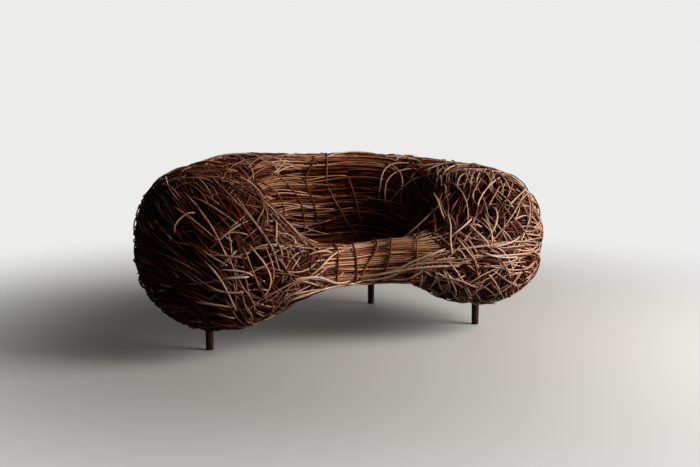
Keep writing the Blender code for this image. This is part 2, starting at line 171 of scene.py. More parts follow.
print("front of the roll:", wall(np.pi, 0.0).round(3))

# %% [markdown]
# ## Camera
# The photograph looks at the chair from its front left, a little above the rim. The angle, distance and
# lens could be tried by eye; here they come from fitting the ring to the chair's outline, so the two
# pictures can be laid over each other. The focus is the focal length, in pixels of the photograph.

# %% Camera
CAMERA_PLACE = (-1.520, -3.990, 1.047)
CAMERA_HEADING = math.radians(-21.572)
CAMERA_DROP = math.radians(8.743)
PHOTO_WIDTH, PHOTO_HEIGHT = 700, 467
FOCUS = 1080.777
forward = Vector((-math.sin(CAMERA_HEADING) * math.cos(CAMERA_DROP),
                  math.cos(CAMERA_HEADING) * math.cos(CAMERA_DROP),
                  -math.sin(CAMERA_DROP)))
camera_right = np.array([math.cos(CAMERA_HEADING), math.sin(CAMERA_HEADING), 0.0])
camera_up = np.cross(camera_right, np.array(forward))
bpy.ops.object.camera_add(location=CAMERA_PLACE)
camera = bpy.context.object
camera.rotation_euler = forward.to_track_quat("-Z", "Y").to_euler()
camera.data.sensor_width = 36
camera.data.lens = FOCUS * camera.data.sensor_width / PHOTO_WIDTH
bpy.context.scene.camera = camera
print("lens:", round(camera.data.lens, 1), "mm")

# %% [markdown]
# ## Helpers for nodes
# A finish is a small graph of nodes. Wiring it by hand in the shader editor is fine for one material; in
# code, four short helpers keep the graphs readable: a new group with named sockets, a sum, a mix and a
# noise.

# %% Node helpers


def new_group(name, sockets_in, sockets_out):
    """An empty shader group with its input and output nodes."""
    group = bpy.data.node_groups.new(name, "ShaderNodeTree")
    for label, kind, value in sockets_in:
        socket = group.interface.new_socket(label, in_out="INPUT", socket_type=kind)
        socket.default_value = value
    for label, kind in sockets_out:
        group.interface.new_socket(label, in_out="OUTPUT", socket_type=kind)
    start = group.nodes.new("NodeGroupInput")
    end = group.nodes.new("NodeGroupOutput")
    return group, start, end


def sums(tree, operation, first, second=None, clamp=False):
    """A math node; each of its inputs is a number or another node's output."""
    node = tree.nodes.new("ShaderNodeMath")
    node.operation = operation
    node.use_clamp = clamp
    for socket, value in zip(node.inputs, (first, second)):
        if value is None:
            continue
        if isinstance(value, (int, float)):
            socket.default_value = value
        else:
            tree.links.new(value, socket)
    return node.outputs[0]


def mixed(tree, share, first, second, blend="MIX"):
    """A colour between two; each input is a value or another node's output."""
    node = tree.nodes.new("ShaderNodeMix")
    node.data_type = "RGBA"
    node.blend_type = blend
    for socket, value in zip((node.inputs[0], node.inputs[6], node.inputs[7]), (share, first, second)):
        if hasattr(value, "is_output"):
            tree.links.new(value, socket)
        else:
            socket.default_value = value
    return node.outputs[2]


def noise(tree, vector, scale, detail=2.0):
    """A cloudy value from 0 to 1."""
    node = tree.nodes.new("ShaderNodeTexNoise")
    node.inputs["Scale"].default_value = scale
    node.inputs["Detail"].default_value = detail
    tree.links.new(vector, node.inputs["Vector"])
    return node.outputs["Fac"]


print("node helpers ready")

# %% [markdown]
# ## Floor
# A plain pale floor that fades into a white background. A curved backdrop would do as well, but one plane
# that glows softly in the distance needs no fitting to the camera. It is pale to the camera and throws back
# less light than it seems to, so that the underside of the chair stays dark.

# %% Floor
FLOOR_SIZE = 80
FADE_FROM, FADE_TO = 0.8, 2.8


def colour(red, green, blue):
    """A colour written as it looks on a screen, 0 to 255, turned into the numbers a shader wants."""
    share = np.array([red, green, blue]) / 255
    lin = np.where(share <= 0.04045, share / 12.92, ((share + 0.055) / 1.055) ** 2.4)
    return (*[float(v) for v in lin], 1.0)


PAPER_WHITE = colour(236, 236, 235)
bpy.ops.mesh.primitive_plane_add(size=FLOOR_SIZE)
floor = bpy.context.object
floor.name = "floor"

floor_look = bpy.data.materials.new("pale_floor")
floor_look.use_nodes = True
tree = floor_look.node_tree
shader = tree.nodes["Principled BSDF"]
shader.inputs["Roughness"].default_value = 0.8
place = tree.nodes.new("ShaderNodeTexCoord")
far = tree.nodes.new("ShaderNodeVectorMath")
far.operation = "LENGTH"
tree.links.new(place.outputs["Object"], far.inputs[0])
fade = tree.nodes.new("ShaderNodeMapRange")
fade.interpolation_type = "SMOOTHSTEP"
fade.inputs["From Min"].default_value = FADE_FROM
fade.inputs["From Max"].default_value = FADE_TO
tree.links.new(far.outputs["Value"], fade.inputs["Value"])
seen = tree.nodes.new("ShaderNodeLightPath").outputs["Is Camera Ray"]
tone = mixed(tree, seen, colour(96, 95, 94), colour(226, 225, 223))
tree.links.new(tone, shader.inputs["Base Color"])
only_seen = sums(tree, "MULTIPLY", fade.outputs["Result"], seen)
glow = tree.nodes.new("ShaderNodeEmission")
glow.inputs["Color"].default_value = PAPER_WHITE
blend = tree.nodes.new("ShaderNodeMixShader")
tree.links.new(only_seen, blend.inputs["Fac"])
tree.links.new(shader.outputs["BSDF"], blend.inputs[1])
tree.links.new(glow.outputs["Emission"], blend.inputs[2])
tree.links.new(blend.outputs["Shader"], tree.nodes["Material Output"].inputs["Surface"])
floor.data.materials.append(floor_look)
print("floor fades out at", FADE_TO, "m")

# %% [markdown]
# ## Light
# One soft light from the right and in front does nearly all the work, because a tangle needs light from one
# side to show its depth. A weak one further to the front lifts the darkest gaps, and a soft low one behind
# keeps the back readable. The world adds little light, and is white only to the camera.

# %% Light
LAMPS = (
    # name, place, watts, side of the lit square, tint
    ("key", (2.95, -2.25, 1.75), 185, 2.2, (1.0, 0.96, 0.92)),
    ("fill", (3.0, -4.0, 1.7), 4, 2.4, (1.0, 0.97, 0.94)),
    ("rear", (1.8, 4.2, 0.8), 45, 3.5, (1.0, 0.97, 0.94)),
)
LAMP_AIM = Vector((0, 0, 0.35))
WORLD_LIGHT = 0.05
for name, place, watts, side, tint in LAMPS:
    bpy.ops.object.light_add(type="AREA", location=place)
    lamp = bpy.context.object
    lamp.name = name
    lamp.data.energy = watts
    lamp.data.size = side
    lamp.data.color = tint
    lamp.rotation_euler = (LAMP_AIM - lamp.location).to_track_quat("-Z", "Y").to_euler()

world = bpy.context.scene.world or bpy.data.worlds.new("studio")
bpy.context.scene.world = world
world.use_nodes = True
sky = world.node_tree
sky.nodes.clear()
seen = sky.nodes.new("ShaderNodeLightPath")
dim = sky.nodes.new("ShaderNodeBackground")
dim.inputs["Color"].default_value = (1.0, 0.97, 0.94, 1)
dim.inputs["Strength"].default_value = WORLD_LIGHT
white = sky.nodes.new("ShaderNodeBackground")
white.inputs["Color"].default_value = PAPER_WHITE
choice = sky.nodes.new("ShaderNodeMixShader")
out = sky.nodes.new("ShaderNodeOutputWorld")
sky.links.new(seen.outputs["Is Camera Ray"], choice.inputs["Fac"])
sky.links.new(dim.outputs["Background"], choice.inputs[1])
sky.links.new(white.outputs["Background"], choice.inputs[2])
sky.links.new(choice.outputs["Shader"], out.inputs["Surface"])
bpy.context.scene.view_settings.view_transform = "Standard"

# %% [markdown]
# ## The skin of rattan
# Rattan is a vine: a smooth, satin skin with fine streaks along its length, a dark ring at each joint, and
# stems that differ a good deal in tone and warmth. Each stem could have a material of its own, but there
# are thousands. So every stem carries a shade value and a map that runs in metres along it, and one shared
# group draws tone, streaks, joints and polish for all of them.

# %% Rattan skin
OWN_START = 53.0  # turns a stem's shade into a place of its own in the patterns
BLOTCHES = 9.0  # per metre
STREAKS_ROUND, STREAKS_ALONG = 9.0, 3.0
JOINTS = 4.1  # per metre
JOINT_HALF = 0.009  # share of the way between two joints
BLOTCH_GAIN, STREAK_GAIN = 0.55, 0.35
WARM_SHARE, JOINT_SHARE = 0.6, 0.55
POLISH_FROM = 0.35  # darker stems than this have no polish
JOINT_DARK = colour(58, 28, 16)
WARM = colour(255, 214, 168)


def spread_out(tree, **values):
    """A vector whose X, Y and Z are other nodes' outputs."""
    node = tree.nodes.new("ShaderNodeCombineXYZ")
    for axis, value in values.items():
        tree.links.new(value, node.inputs[axis])
    return node.outputs["Vector"]


def rattan_group():
    """The group: three tones and two finish values in, colour, roughness, coat and height out."""
    group, start, end = new_group(
        "rattan_skin",
        [("Dark", "NodeSocketColor", colour(70, 34, 20)),
         ("Middle", "NodeSocketColor", colour(146, 84, 50)),
         ("Pale", "NodeSocketColor", colour(205, 146, 104)),
         ("Sheen", "NodeSocketFloat", 0.4),
         ("Gloss", "NodeSocketFloat", 0.5)],
        [("Color", "NodeSocketColor"), ("Roughness", "NodeSocketFloat"),
         ("Coat", "NodeSocketFloat"), ("Height", "NodeSocketFloat")],
    )
    shade = group.nodes.new("ShaderNodeAttribute")
    shade.attribute_name = "shade"
    tone = shade.outputs["Fac"]
    mapped = group.nodes.new("ShaderNodeUVMap")
    mapped.uv_map = "cane_map"
    parts = group.nodes.new("ShaderNodeSeparateXYZ")
    group.links.new(mapped.outputs["UV"], parts.inputs["Vector"])
    around, along = parts.outputs["X"], parts.outputs["Y"]

    own = sums(group, "MULTIPLY", tone, OWN_START)
    blotch_at = spread_out(group, X=sums(group, "MULTIPLY", along, BLOTCHES), Y=own)
    blotch = noise(group, blotch_at, 1.0, 3.0)
    streak_at = spread_out(group, X=sums(group, "MULTIPLY", around, STREAKS_ROUND),
                           Y=sums(group, "MULTIPLY", along, STREAKS_ALONG), Z=own)
    streak = noise(group, streak_at, 1.6, 2.0)
    between = sums(group, "FRACT", sums(group, "ADD", sums(group, "MULTIPLY", along, JOINTS), own))
    from_joint = sums(group, "ABSOLUTE", sums(group, "SUBTRACT", between, 0.5))
    joint = sums(group, "LESS_THAN", from_joint, JOINT_HALF)

    for pattern, gain in ((blotch, BLOTCH_GAIN), (streak, STREAK_GAIN)):
        uneven = sums(group, "MULTIPLY", sums(group, "SUBTRACT", pattern, 0.5), gain)
        tone = sums(group, "ADD", tone, uneven)
    lower = sums(group, "MULTIPLY", tone, 2.0, True)
    upper = sums(group, "SUBTRACT", sums(group, "MULTIPLY", tone, 2.0), 1.0, True)
    skin = mixed(group, lower, start.outputs["Dark"], start.outputs["Middle"])
    skin = mixed(group, upper, skin, start.outputs["Pale"])
    warmth = sums(group, "MULTIPLY", sums(group, "FRACT", own), WARM_SHARE)
    skin = mixed(group, warmth, skin, WARM, "MULTIPLY")
    skin = mixed(group, sums(group, "MULTIPLY", joint, JOINT_SHARE), skin, JOINT_DARK)
    group.links.new(skin, end.inputs["Color"])
    rough = sums(group, "ADD", start.outputs["Sheen"], sums(group, "MULTIPLY", streak, 0.16))
    group.links.new(rough, end.inputs["Roughness"])
    polish = sums(group, "MULTIPLY", sums(group, "SUBTRACT", tone, POLISH_FROM), start.outputs["Gloss"], True)
    group.links.new(polish, end.inputs["Coat"])
    height = sums(group, "SUBTRACT", streak, sums(group, "MULTIPLY", joint, 0.6))
    group.links.new(height, end.inputs["Height"])
    return group


rattan = rattan_group()
print("rattan skin nodes:", len(rattan.nodes))

# %% [markdown]
# ## Looks
# The same skin serves four kinds of cane, each with its own three tones: the bed, whose dark tones are
# painted shade, the tangle, the laid rows and the bindings. Wood and the imported core have a grain
# instead, a noise that is read from the place of the piece itself, so it needs no map; for the legs and
# pegs it is drawn out along their length.

# %% Looks


def finished(name, strength, depth):
    """A new material with a bump: its node tree, its shader and the socket for the height."""
    look = bpy.data.materials.new(name)
    look.use_nodes = True
    tree = look.node_tree
    shader = tree.nodes["Principled BSDF"]
    bump = tree.nodes.new("ShaderNodeBump")
    bump.inputs["Strength"].default_value = strength
    bump.inputs["Distance"].default_value = depth
    tree.links.new(bump.outputs["Normal"], shader.inputs["Normal"])
    return look, tree, shader, bump.inputs["Height"]


def cane_look(name, dark, middle, pale, sheen, gloss, specular=0.2):
    """Rattan skin in three tones."""
    look, tree, shader, height = finished(name, strength=0.15, depth=0.0004)
    shader.inputs["Specular IOR Level"].default_value = specular
    shader.inputs["Coat Roughness"].default_value = 0.3
    skin = tree.nodes.new("ShaderNodeGroup")
    skin.node_tree = rattan
    for label, tone in (("Dark", dark), ("Middle", middle), ("Pale", pale)):
        skin.inputs[label].default_value = colour(*tone)
    skin.inputs["Sheen"].default_value = sheen
    skin.inputs["Gloss"].default_value = gloss
    tree.links.new(skin.outputs["Color"], shader.inputs["Base Color"])
    tree.links.new(skin.outputs["Roughness"], shader.inputs["Roughness"])
    tree.links.new(skin.outputs["Coat"], shader.inputs["Coat Weight"])
    tree.links.new(skin.outputs["Height"], height)
    return look


def grained_look(name, dark, pale, roughness, stretch):
    """A grain from a noise that is scaled along each axis."""
    look, tree, shader, height = finished(name, strength=0.25, depth=0.0008)
    place = tree.nodes.new("ShaderNodeTexCoord")
    scale = tree.nodes.new("ShaderNodeMapping")
    scale.inputs["Scale"].default_value = stretch
    tree.links.new(place.outputs["Object"], scale.inputs["Vector"])
    grain = noise(tree, scale.outputs["Vector"], 1.0, 5.0)
    share = sums(tree, "MULTIPLY", sums(tree, "SUBTRACT", grain, 0.3), 2.4, True)
    tree.links.new(mixed(tree, share, colour(*dark), colour(*pale)), shader.inputs["Base Color"])
    rough = sums(tree, "ADD", sums(tree, "MULTIPLY", grain, 0.2), roughness)
    tree.links.new(rough, shader.inputs["Roughness"])
    tree.links.new(grain, height)
    return look


# the bed's dark tones are painted shade under the canes on top
bed_shade_look = cane_look("bed_cane_painted_shade", (24, 7, 2), (58, 20, 6), (106, 45, 18), 0.6, 0.0, 0.03)
tangle_look = cane_look("tangled_cane", (36, 11, 3), (106, 47, 23), (221, 185, 160), 0.40, 1.6, 0.12)
laid_look = cane_look("laid_cane", (40, 12, 4), (128, 65, 36), (213, 167, 131), 0.44, 0.9, 0.12)
bound_look = cane_look("binding_cane", (44, 20, 10), (108, 56, 30), (168, 106, 66), 0.5, 0.2)
# the core's dark tones are painted shade
core_shade_look = grained_look("packed_core_painted_shade", (26, 11, 6), (60, 28, 15), 0.8, (30, 30, 60))
pole_look = grained_look("rattan_pole", (96, 58, 34), (160, 108, 68), 0.5, (60, 60, 60))
leg_look = grained_look("leg_wood", (44, 21, 12), (88, 46, 28), 0.3, (150, 150, 9))
peg_look = grained_look("peg_wood", (150, 110, 70), (190, 150, 106), 0.5, (160, 160, 12))
print("looks:", len(bpy.data.materials))

# %% [markdown]
# ## Packed core
# Under the canes that can be seen lies a dense bundle that never catches light. Filling the ring with stems
# would cost many faces that nobody sees, so a closed skin, painted dark as shade, stands for it: a grid bent
# round the ring, a little below the face of the wall.

# %% Core
CORE_DEPTH = 0.022
CORE_ROWS, CORE_COLUMNS = 160, 64
angle, turn = np.meshgrid(np.linspace(-np.pi, np.pi, CORE_ROWS, endpoint=False),
                          np.linspace(-np.pi, np.pi, CORE_COLUMNS, endpoint=False), indexing="ij")
points = (wall(angle, turn) - normal(angle, turn) * CORE_DEPTH).reshape(-1, 3)
row, column = np.meshgrid(np.arange(CORE_ROWS), np.arange(CORE_COLUMNS), indexing="ij")
first, second = row * CORE_COLUMNS, (row + 1) % CORE_ROWS * CORE_COLUMNS
beside = (column + 1) % CORE_COLUMNS
faces = np.stack([first + column, first + beside, second + beside, second + column], axis=-1).reshape(-1, 4)
mesh = bpy.data.meshes.new("nest_core")
mesh.from_pydata(points.tolist(), [], faces.tolist())
core = bpy.data.objects.new("nest_core", mesh)
bpy.context.scene.collection.objects.link(core)
bpy.ops.object.select_all(action="DESELECT")
core.select_set(True)
bpy.context.view_layer.objects.active = core
bpy.ops.object.mode_set(mode="EDIT")
bpy.ops.mesh.select_all(action="SELECT")
bpy.ops.mesh.normals_make_consistent(inside=False)
bpy.ops.object.mode_set(mode="OBJECT")
bpy.ops.object.shade_smooth()
core.data.materials.append(core_shade_look)
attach(core, "root")
print("core faces:", len(core.data.polygons))

# %% [markdown]
# ## How a cane is made
# A cane is a round stem along a line of points. A bevelled curve gives one with no code, but thousands of
# curve objects are slow, and each would need a material for its tone. So the tubes of one layer are written
# into one mesh in a single pass, each with six sides, its own shade, a map in metres along its length and
# closed ends.

# %% Cane maker
SIDES = 6
END_SHARE = 0.85  # an end is a little thinner than the stem


def swept(lines, up, radius, shade):
    """Round stems as rings of points, the way travelled along them, and shades. lines and up are
    (stems, points, 3)."""
    ahead = unit(np.gradient(lines, axis=1))
    across = unit(np.cross(ahead, up))
    above = np.cross(across, ahead)
    turn = np.linspace(0, 2 * np.pi, SIDES, endpoint=False)
    ring = above[:, :, None] * np.cos(turn)[:, None] + across[:, :, None] * np.sin(turn)[:, None]
    ends = np.ones(lines.shape[1])
    ends[[0, -1]] = END_SHARE
    thick = np.asarray(radius)[:, None] * ends
    spots = lines[:, :, None] + ring * thick[:, :, None, None]
    travel = np.cumsum(np.linalg.norm(np.diff(lines, axis=1, prepend=lines[:, :1]), axis=2), axis=1)
    return spots, travel, np.asarray(shade)


print("sides to a cane:", SIDES)

# %% [markdown]
# ## One mesh for many canes
# A layer of the nest is hundreds of stems with one finish. Joining objects in Blender would work for a few;
# here the corners, faces, map and shades of all stems are counted out with arrays and handed over at once,
# which takes a moment even for the whole nest.

# %% Mesh maker


def stems(name, batches, look):
    """One object from batches of swept stems; each batch has its own number of points."""
    spots, loops, starts, maps, shades, even = [], [], [], [], [], []
    base = 0
    corner = 0
    for places, travel, shade in batches:
        count, points = travel.shape
        stem, step, side = np.meshgrid(np.arange(count), np.arange(points - 1), np.arange(SIDES),
                                       indexing="ij")
        beside = (side + 1) % SIDES
        first = base + (stem * points + step) * SIDES
        second = first + SIDES
        quads = np.stack([first + side, first + beside, second + beside, second + side], axis=-1)
        low, high = travel[stem, step], travel[stem, step + 1]
        left, right = side / SIDES, (side + 1) / SIDES
        corners = ((left, low), (right, low), (right, high), (left, high))
        flat = np.stack([np.stack(pair, -1) for pair in corners], axis=-2)
        head = base + np.arange(count)[:, None] * points * SIDES + np.arange(SIDES)[::-1]
        tail = base + (np.arange(count)[:, None] * points + points - 1) * SIDES + np.arange(SIDES)
        loops += [quads.ravel(), head.ravel(), tail.ravel()]
        end_map = np.stack([np.full((count, SIDES), 0.5), np.repeat(travel[:, -1:], SIDES, 1)], -1)
        maps += [flat.reshape(-1, 2), end_map.reshape(-1, 2) * [1, 0], end_map.reshape(-1, 2)]
        sides = stem.size
        starts += [corner + np.arange(sides) * 4, corner + sides * 4 + np.arange(2 * count) * SIDES]
        corner += sides * 4 + 2 * count * SIDES
        even += [np.ones(sides, bool), np.zeros(2 * count, bool)]
        spots.append(places.reshape(-1, 3))
        shades.append(np.repeat(shade, points * SIDES))
        base += count * points * SIDES
    mesh = bpy.data.meshes.new(name)
    spots = np.concatenate(spots)
    loops = np.concatenate(loops)
    starts = np.concatenate(starts)
    mesh.vertices.add(len(spots))
    mesh.vertices.foreach_set("co", spots.astype(np.float32).ravel())
    mesh.loops.add(len(loops))
    mesh.loops.foreach_set("vertex_index", loops.astype(np.int32))
    mesh.polygons.add(len(starts))
    mesh.polygons.foreach_set("loop_start", starts.astype(np.int32))
    mesh.update(calc_edges=True)
    mesh.polygons.foreach_set("use_smooth", np.concatenate(even))
    maps = np.concatenate(maps).astype(np.float32)
    mesh.uv_layers.new(name="cane_map").data.foreach_set("uv", maps.ravel())
    tone = mesh.attributes.new("shade", "FLOAT", "POINT")
    tone.data.foreach_set("value", np.concatenate(shades).astype(np.float32))
    mesh.validate()
    made = bpy.data.objects.new(name, mesh)
    bpy.context.scene.collection.objects.link(made)
    mesh.materials.append(look)
    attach(made, "root")
    print(name, sum(len(b[1]) for b in batches), "canes,", len(starts), "faces")
    return made


print("mesh maker ready")

# %% [markdown]
# ## How a cane is laid
# A weaver pushes a stem into the tangle, lets it spring along the surface and tucks its end under others.
# Loose curves shrunk onto the wall would all lie flat on it. Here a stem starts at a place on the ring and
# grows both ways with a heading that bends steadily, and its height over the wall falls away at both ends,
# so the ends disappear under their neighbours.

# %% Laying
STEM_POINTS = 9


def grown(angle, turn, course, bend, length, points=STEM_POINTS, parts=2):
    """Angles and turns along stems that start along a direction in space and keep to the surface."""
    half = points // 2
    angles = np.empty((len(angle), points))
    turns = np.empty((len(angle), points))
    angles[:, half], turns[:, half] = angle, turn
    step = length / (points - 1) / parts
    for way in (1, -1):
        at_angle, at_turn, ahead = angle.copy(), turn.copy(), course.copy()
        for k in range(1, half * parts + 1):
            by_angle, by_turn = slopes(at_angle, at_turn)
            up = unit(np.cross(by_turn, by_angle))
            ahead = unit(ahead - up * np.sum(ahead * up, axis=-1, keepdims=True))
            veer = way * bend[:, None] / parts
            ahead = ahead * np.cos(veer) + np.cross(up, ahead) * np.sin(veer)
            angle_angle = np.sum(by_angle * by_angle, axis=-1)
            angle_turn = np.sum(by_angle * by_turn, axis=-1)
            turn_turn = np.sum(by_turn * by_turn, axis=-1)
            angle_ahead = np.sum(by_angle * ahead, axis=-1)
            turn_ahead = np.sum(by_turn * ahead, axis=-1)
            whole = angle_angle * turn_turn - angle_turn * angle_turn
            angle_gain = turn_turn * angle_ahead - angle_turn * turn_ahead
            turn_gain = angle_angle * turn_ahead - angle_turn * angle_ahead
            at_angle = at_angle + way * step * angle_gain / whole
            at_turn = at_turn + way * step * turn_gain / whole
            if k % parts == 0:
                place = half + way * k // parts
                angles[:, place], turns[:, place] = at_angle, at_turn
    return angles, turns


def laid(angles, turns, lift, radius, shade):
    """Round stems along places on the ring, lifted off the wall."""
    up = normal(angles, turns)
    return swept(wall(angles, turns) + up * lift[..., None], up, radius, shade)


def tucked(points, top, dive, power):
    """Height over the wall along stems that are highest in the middle and dive at both ends."""
    share = np.abs(np.linspace(-1, 1, points))
    return top[:, None] - dive[:, None] * share**power


print("points to a stem:", STEM_POINTS)

# %% [markdown]
# ## Where the tangle is
# On the real chair the tangle stops where someone sits: the inside of the back and the front roll have
# their canes side by side. A mask could be painted by hand; a few lines that give the edge for each turn do
# the same and stay sharp. Random places are then drawn evenly by area, so that no part gets crowded.

# %% Tangle places


def seat_side(turn):
    """The turn in degrees, counted from -110 under the nest, over the outside, to 250."""
    return (np.degrees(turn) + 110) % 360 - 110


def tangle_share(angle, turn):
    """1 where canes cross at random, 0 where they lie side by side: the inside of the back and the roll."""
    degrees = np.degrees((angle + np.pi) % (2 * np.pi) - np.pi)
    from_back = np.abs(degrees)
    side = seat_side(turn)
    left_reach = np.interp(side, (100, 140, 165, 185), (44, 50, 54, 90))
    right_reach = np.interp(side, (100, 120, 142, 160, 172, 182), (50, 54, 60, 66, 72, 90))
    reach = np.where(degrees < 0, left_reach, right_reach)
    edge = 80 + 18 * smooth(5, 45, -degrees)
    back = (1 - smooth(reach, reach + 16, from_back)) * smooth(edge, edge + 20, side)
    left_start = np.interp(side, (-60, -8, 41, 66, 90, 140), (150, 148, 148, 147, 141, 136))
    right_start = np.interp(side, (-60, 5, 40, 84, 100, 140), (150, 148, 144, 141, 140, 139))
    start = np.where(degrees < 0, left_start, right_start)
    roll = smooth(start - 2, start + 9, from_back)
    return (1 - back) * (1 - roll)


def scattered(density):
    """Random places on the ring, even by area, where the tangle is; the density is per square metre."""
    tries = int(density * 60)
    angle = rng.uniform(-np.pi, np.pi, tries)
    turn = rng.uniform(-np.pi, np.pi, tries)
    by_angle, by_turn = slopes(angle, turn)
    area = np.linalg.norm(np.cross(by_angle, by_turn), axis=-1)
    keep = rng.uniform(0, 1, tries) < density * area * 4 * np.pi**2 / tries
    angle, turn = angle[keep], turn[keep]
    keep = rng.uniform(0, 1, len(angle)) < tangle_share(angle, turn)
    return angle[keep], turn[keep]


print("tangle at the back rim:", round(float(tangle_share(np.zeros(1), np.full(1, 1.6))[0]), 2))

# %% [markdown]
# ## The weaver's habits
# No tangle is quite random: the stems of the left lobe sweep down to the front, those of the right one
# cross in two steep courses, and those on the rim follow it. Each part of the nest has its habits, with a
# share, a course in degrees and a spread; a course of 0 runs level to the right of someone who faces that
# part, and 90 runs up; for the parts in view, right and up are those of the picture. Neighbours often share
# a habit, which gives the small sheaves that a hand lays down together.

# %% Habits
ELSEWHERE = ((0.36, 44, 14), (0.36, -44, 14), (0.28, 0, 14))
LEFT_LOBE = ((0.84, 0, 9), (0.06, 34, 14), (0.10, 4, 26))
LEFT_FLANK = ((0.54, -50, 13), (0.18, 50, 16), (0.18, -4, 14), (0.10, 90, 20))
LEFT_NEAR_SEAT = ((0.34, -52, 14), (0.30, 44, 16), (0.24, 4, 14), (0.12, 90, 20))
RIGHT_LOBE = ((0.42, 50, 15), (0.40, -46, 15), (0.18, 5, 12))
RIGHT_TOP = ((0.50, 66, 15), (0.34, -50, 15), (0.16, 10, 12))
RIGHT_LOW = ((0.46, 8, 9), (0.40, -44, 12), (0.14, 50, 14))
RIGHT_UNDER = ((0.46, -66, 12), (0.30, 40, 12), (0.24, -15, 14))
RIGHT_FAR = ((0.44, 12, 12), (0.32, -48, 14), (0.24, 50, 14))
SWEEP_HEIGHTS, SWEEP_COURSES = (0.16, 0.26, 0.38, 0.56), (-4, -20, -40, -50)
RIM_SHARE, RIM_SPREAD = 0.7, 10
SHEAF_SHARE = 0.65
EDGE_ON = 0.3  # how squarely a place faces the camera, below which it counts as the crest


def either(pick, spread, habits):
    """One of several courses in degrees."""
    course = np.zeros(len(pick))
    passed = 0.0
    for share, middle, width in habits:
        here = (pick >= passed) & (pick < passed + share)
        course = np.where(here, middle + width * spread, course)
        passed += share
    return course


def bundled(spots, share):
    """A random habit and a random turn aside for each place, shared with its neighbours for part of the
    places, so that stems come in small sheaves."""
    count = len(spots)
    centres = rng.choice(count, count // 7)
    nearest = np.linalg.norm(spots[:, None] - spots[centres], axis=-1).argmin(axis=1)
    alike = rng.uniform(0, 1, count) < share
    pick = np.where(alike, rng.uniform(0, 1, len(centres))[nearest], rng.uniform(0, 1, count))
    spread = np.where(alike, rng.normal(0, 0.8, len(centres))[nearest] + rng.normal(0, 0.3, count),
                      rng.normal(0, 0.9, count))
    return pick, spread


print("habits on the right lobe:", len(RIGHT_LOBE))

# %% [markdown]
# ## Which way a stem runs
# A habit is a course on a flat picture, but a stem runs over a round wall. So a course is drawn as the
# camera sees it, or for hidden parts as someone who faces the wall does, and is then laid down on the wall.
# Along the crest, where the wall turns away from the camera, part of the stems follow the crest, as stems
# bent over a rim do. The left lobe's sweep gets steeper with its height.

# %% Courses


def courses(angle, turn):
    """Which way the stems run at each place, as directions in space."""
    degrees = np.degrees(angle)
    side = seat_side(turn)
    out = normal(angle, turn)
    spot = wall(angle, turn)
    pick, spread = bundled(spot, SHEAF_SHARE)
    to_camera = unit(np.array(CAMERA_PLACE) - spot)
    seen = np.sum(out * to_camera, axis=-1)
    facing = seen > 0.0
    left, right = (degrees < -62) & facing, (degrees > 62) & facing
    parts = (
        (left & (side > 84) & (degrees < -76), LEFT_FLANK),
        (left & (degrees < -127), LEFT_NEAR_SEAT),
        (right, RIGHT_LOBE),
        (right & (side > 58), RIGHT_TOP),
        (right & (side < 26) & (side > -12) & (degrees > 118), RIGHT_LOW),
        (right & (side <= -12), RIGHT_UNDER),
        (right & (degrees < 104) & (side > -12) & (side < 50), RIGHT_FAR),
    )
    course = either(pick, spread, ELSEWHERE)
    sweep = np.interp(spot[:, 2], SWEEP_HEIGHTS, SWEEP_COURSES)
    sweep = either(pick, spread, LEFT_LOBE) + np.where(pick < LEFT_LOBE[0][0], sweep, 0)
    course = np.where(left, sweep, course)
    for here, habits in parts:
        course = np.where(here, either(pick, spread, habits), course)
    rim = (side > 74) & (side < 112) & (degrees > -80) & (degrees < 62)
    course = np.radians(np.where(rim & (pick < RIM_SHARE), RIM_SPREAD * spread, course))[:, None]

    round_side = unit(np.cross([0.0, 0.0, 1.0], out + [0, 0, 1e-4]))
    level = np.where(facing[:, None], camera_right, round_side)
    up = np.where(facing[:, None], camera_up, np.cross(out, round_side))
    ahead = level * np.cos(course) + up * np.sin(course)
    slant = np.sum(ahead * out, axis=-1) / np.maximum(seen, EDGE_ON)
    ahead = np.where(facing[:, None], ahead - to_camera * slant[:, None], ahead)
    along = np.where(degrees < -108, 0.15, 0.6)
    crest = (np.abs(seen) < EDGE_ON) & (out @ camera_up > 0.5) & (rng.uniform(0, 1, len(angle)) < along)
    return np.where(crest[:, None], np.cross(out, to_camera) + 0.25 * spread[:, None] * to_camera, ahead)


print("courses ready; the crest starts below", EDGE_ON)

# %% [markdown]
# ## The tangle
# One layer of stems would leave holes down to the core. Five layers go from a dense bed, painted dark as
# shade, up to a few stems that spring clear of the rest, so that nearly every gap shows another cane below
# it; the lower layers have darker shades, painted shade deep in the tangle. Stems on the left lobe, on the
# seat side of the right arm and beside the right end of the roll get painted shade as well, a little less
# of it on the front of the left lobe by the seat, which faces the light.

# %% Tangle
# painted shade: the deeper layers are given darker shades than the top ones
LAYERS = (
    # canes per square metre, length, top over the wall, dive at the ends, shade
    (420, (0.30, 0.50), (-0.018, -0.012), (0.000, 0.004), (0.00, 0.70)),
    (460, (0.24, 0.44), (-0.011, -0.006), (0.004, 0.008), (0.10, 0.80)),
    (640, (0.16, 0.32), (-0.006, -0.001), (0.008, 0.013), (0.00, 0.45)),
    (740, (0.11, 0.27), (0.000, 0.007), (0.010, 0.017), (0.30, 1.05)),
    (110, (0.12, 0.24), (0.007, 0.013), (0.020, 0.026), (0.60, 1.05)),
)
BED_LAYERS = 2
TANGLE_RADII = (0.0022, 0.0031)
BEND = 0.085  # radians per step, a spread
CALM_FROM, CALM_TO, CALM_SHARE = -2.2, -1.1, 0.4  # the left lobe's stems are straighter
STRAIGHT_SHARE = 0.82  # stems that end nearer to their start than this double back
ARMS_FROM = 58
sectors = {"left_arm": ([], []), "right_arm": ([], []), "outer_back": ([], [])}


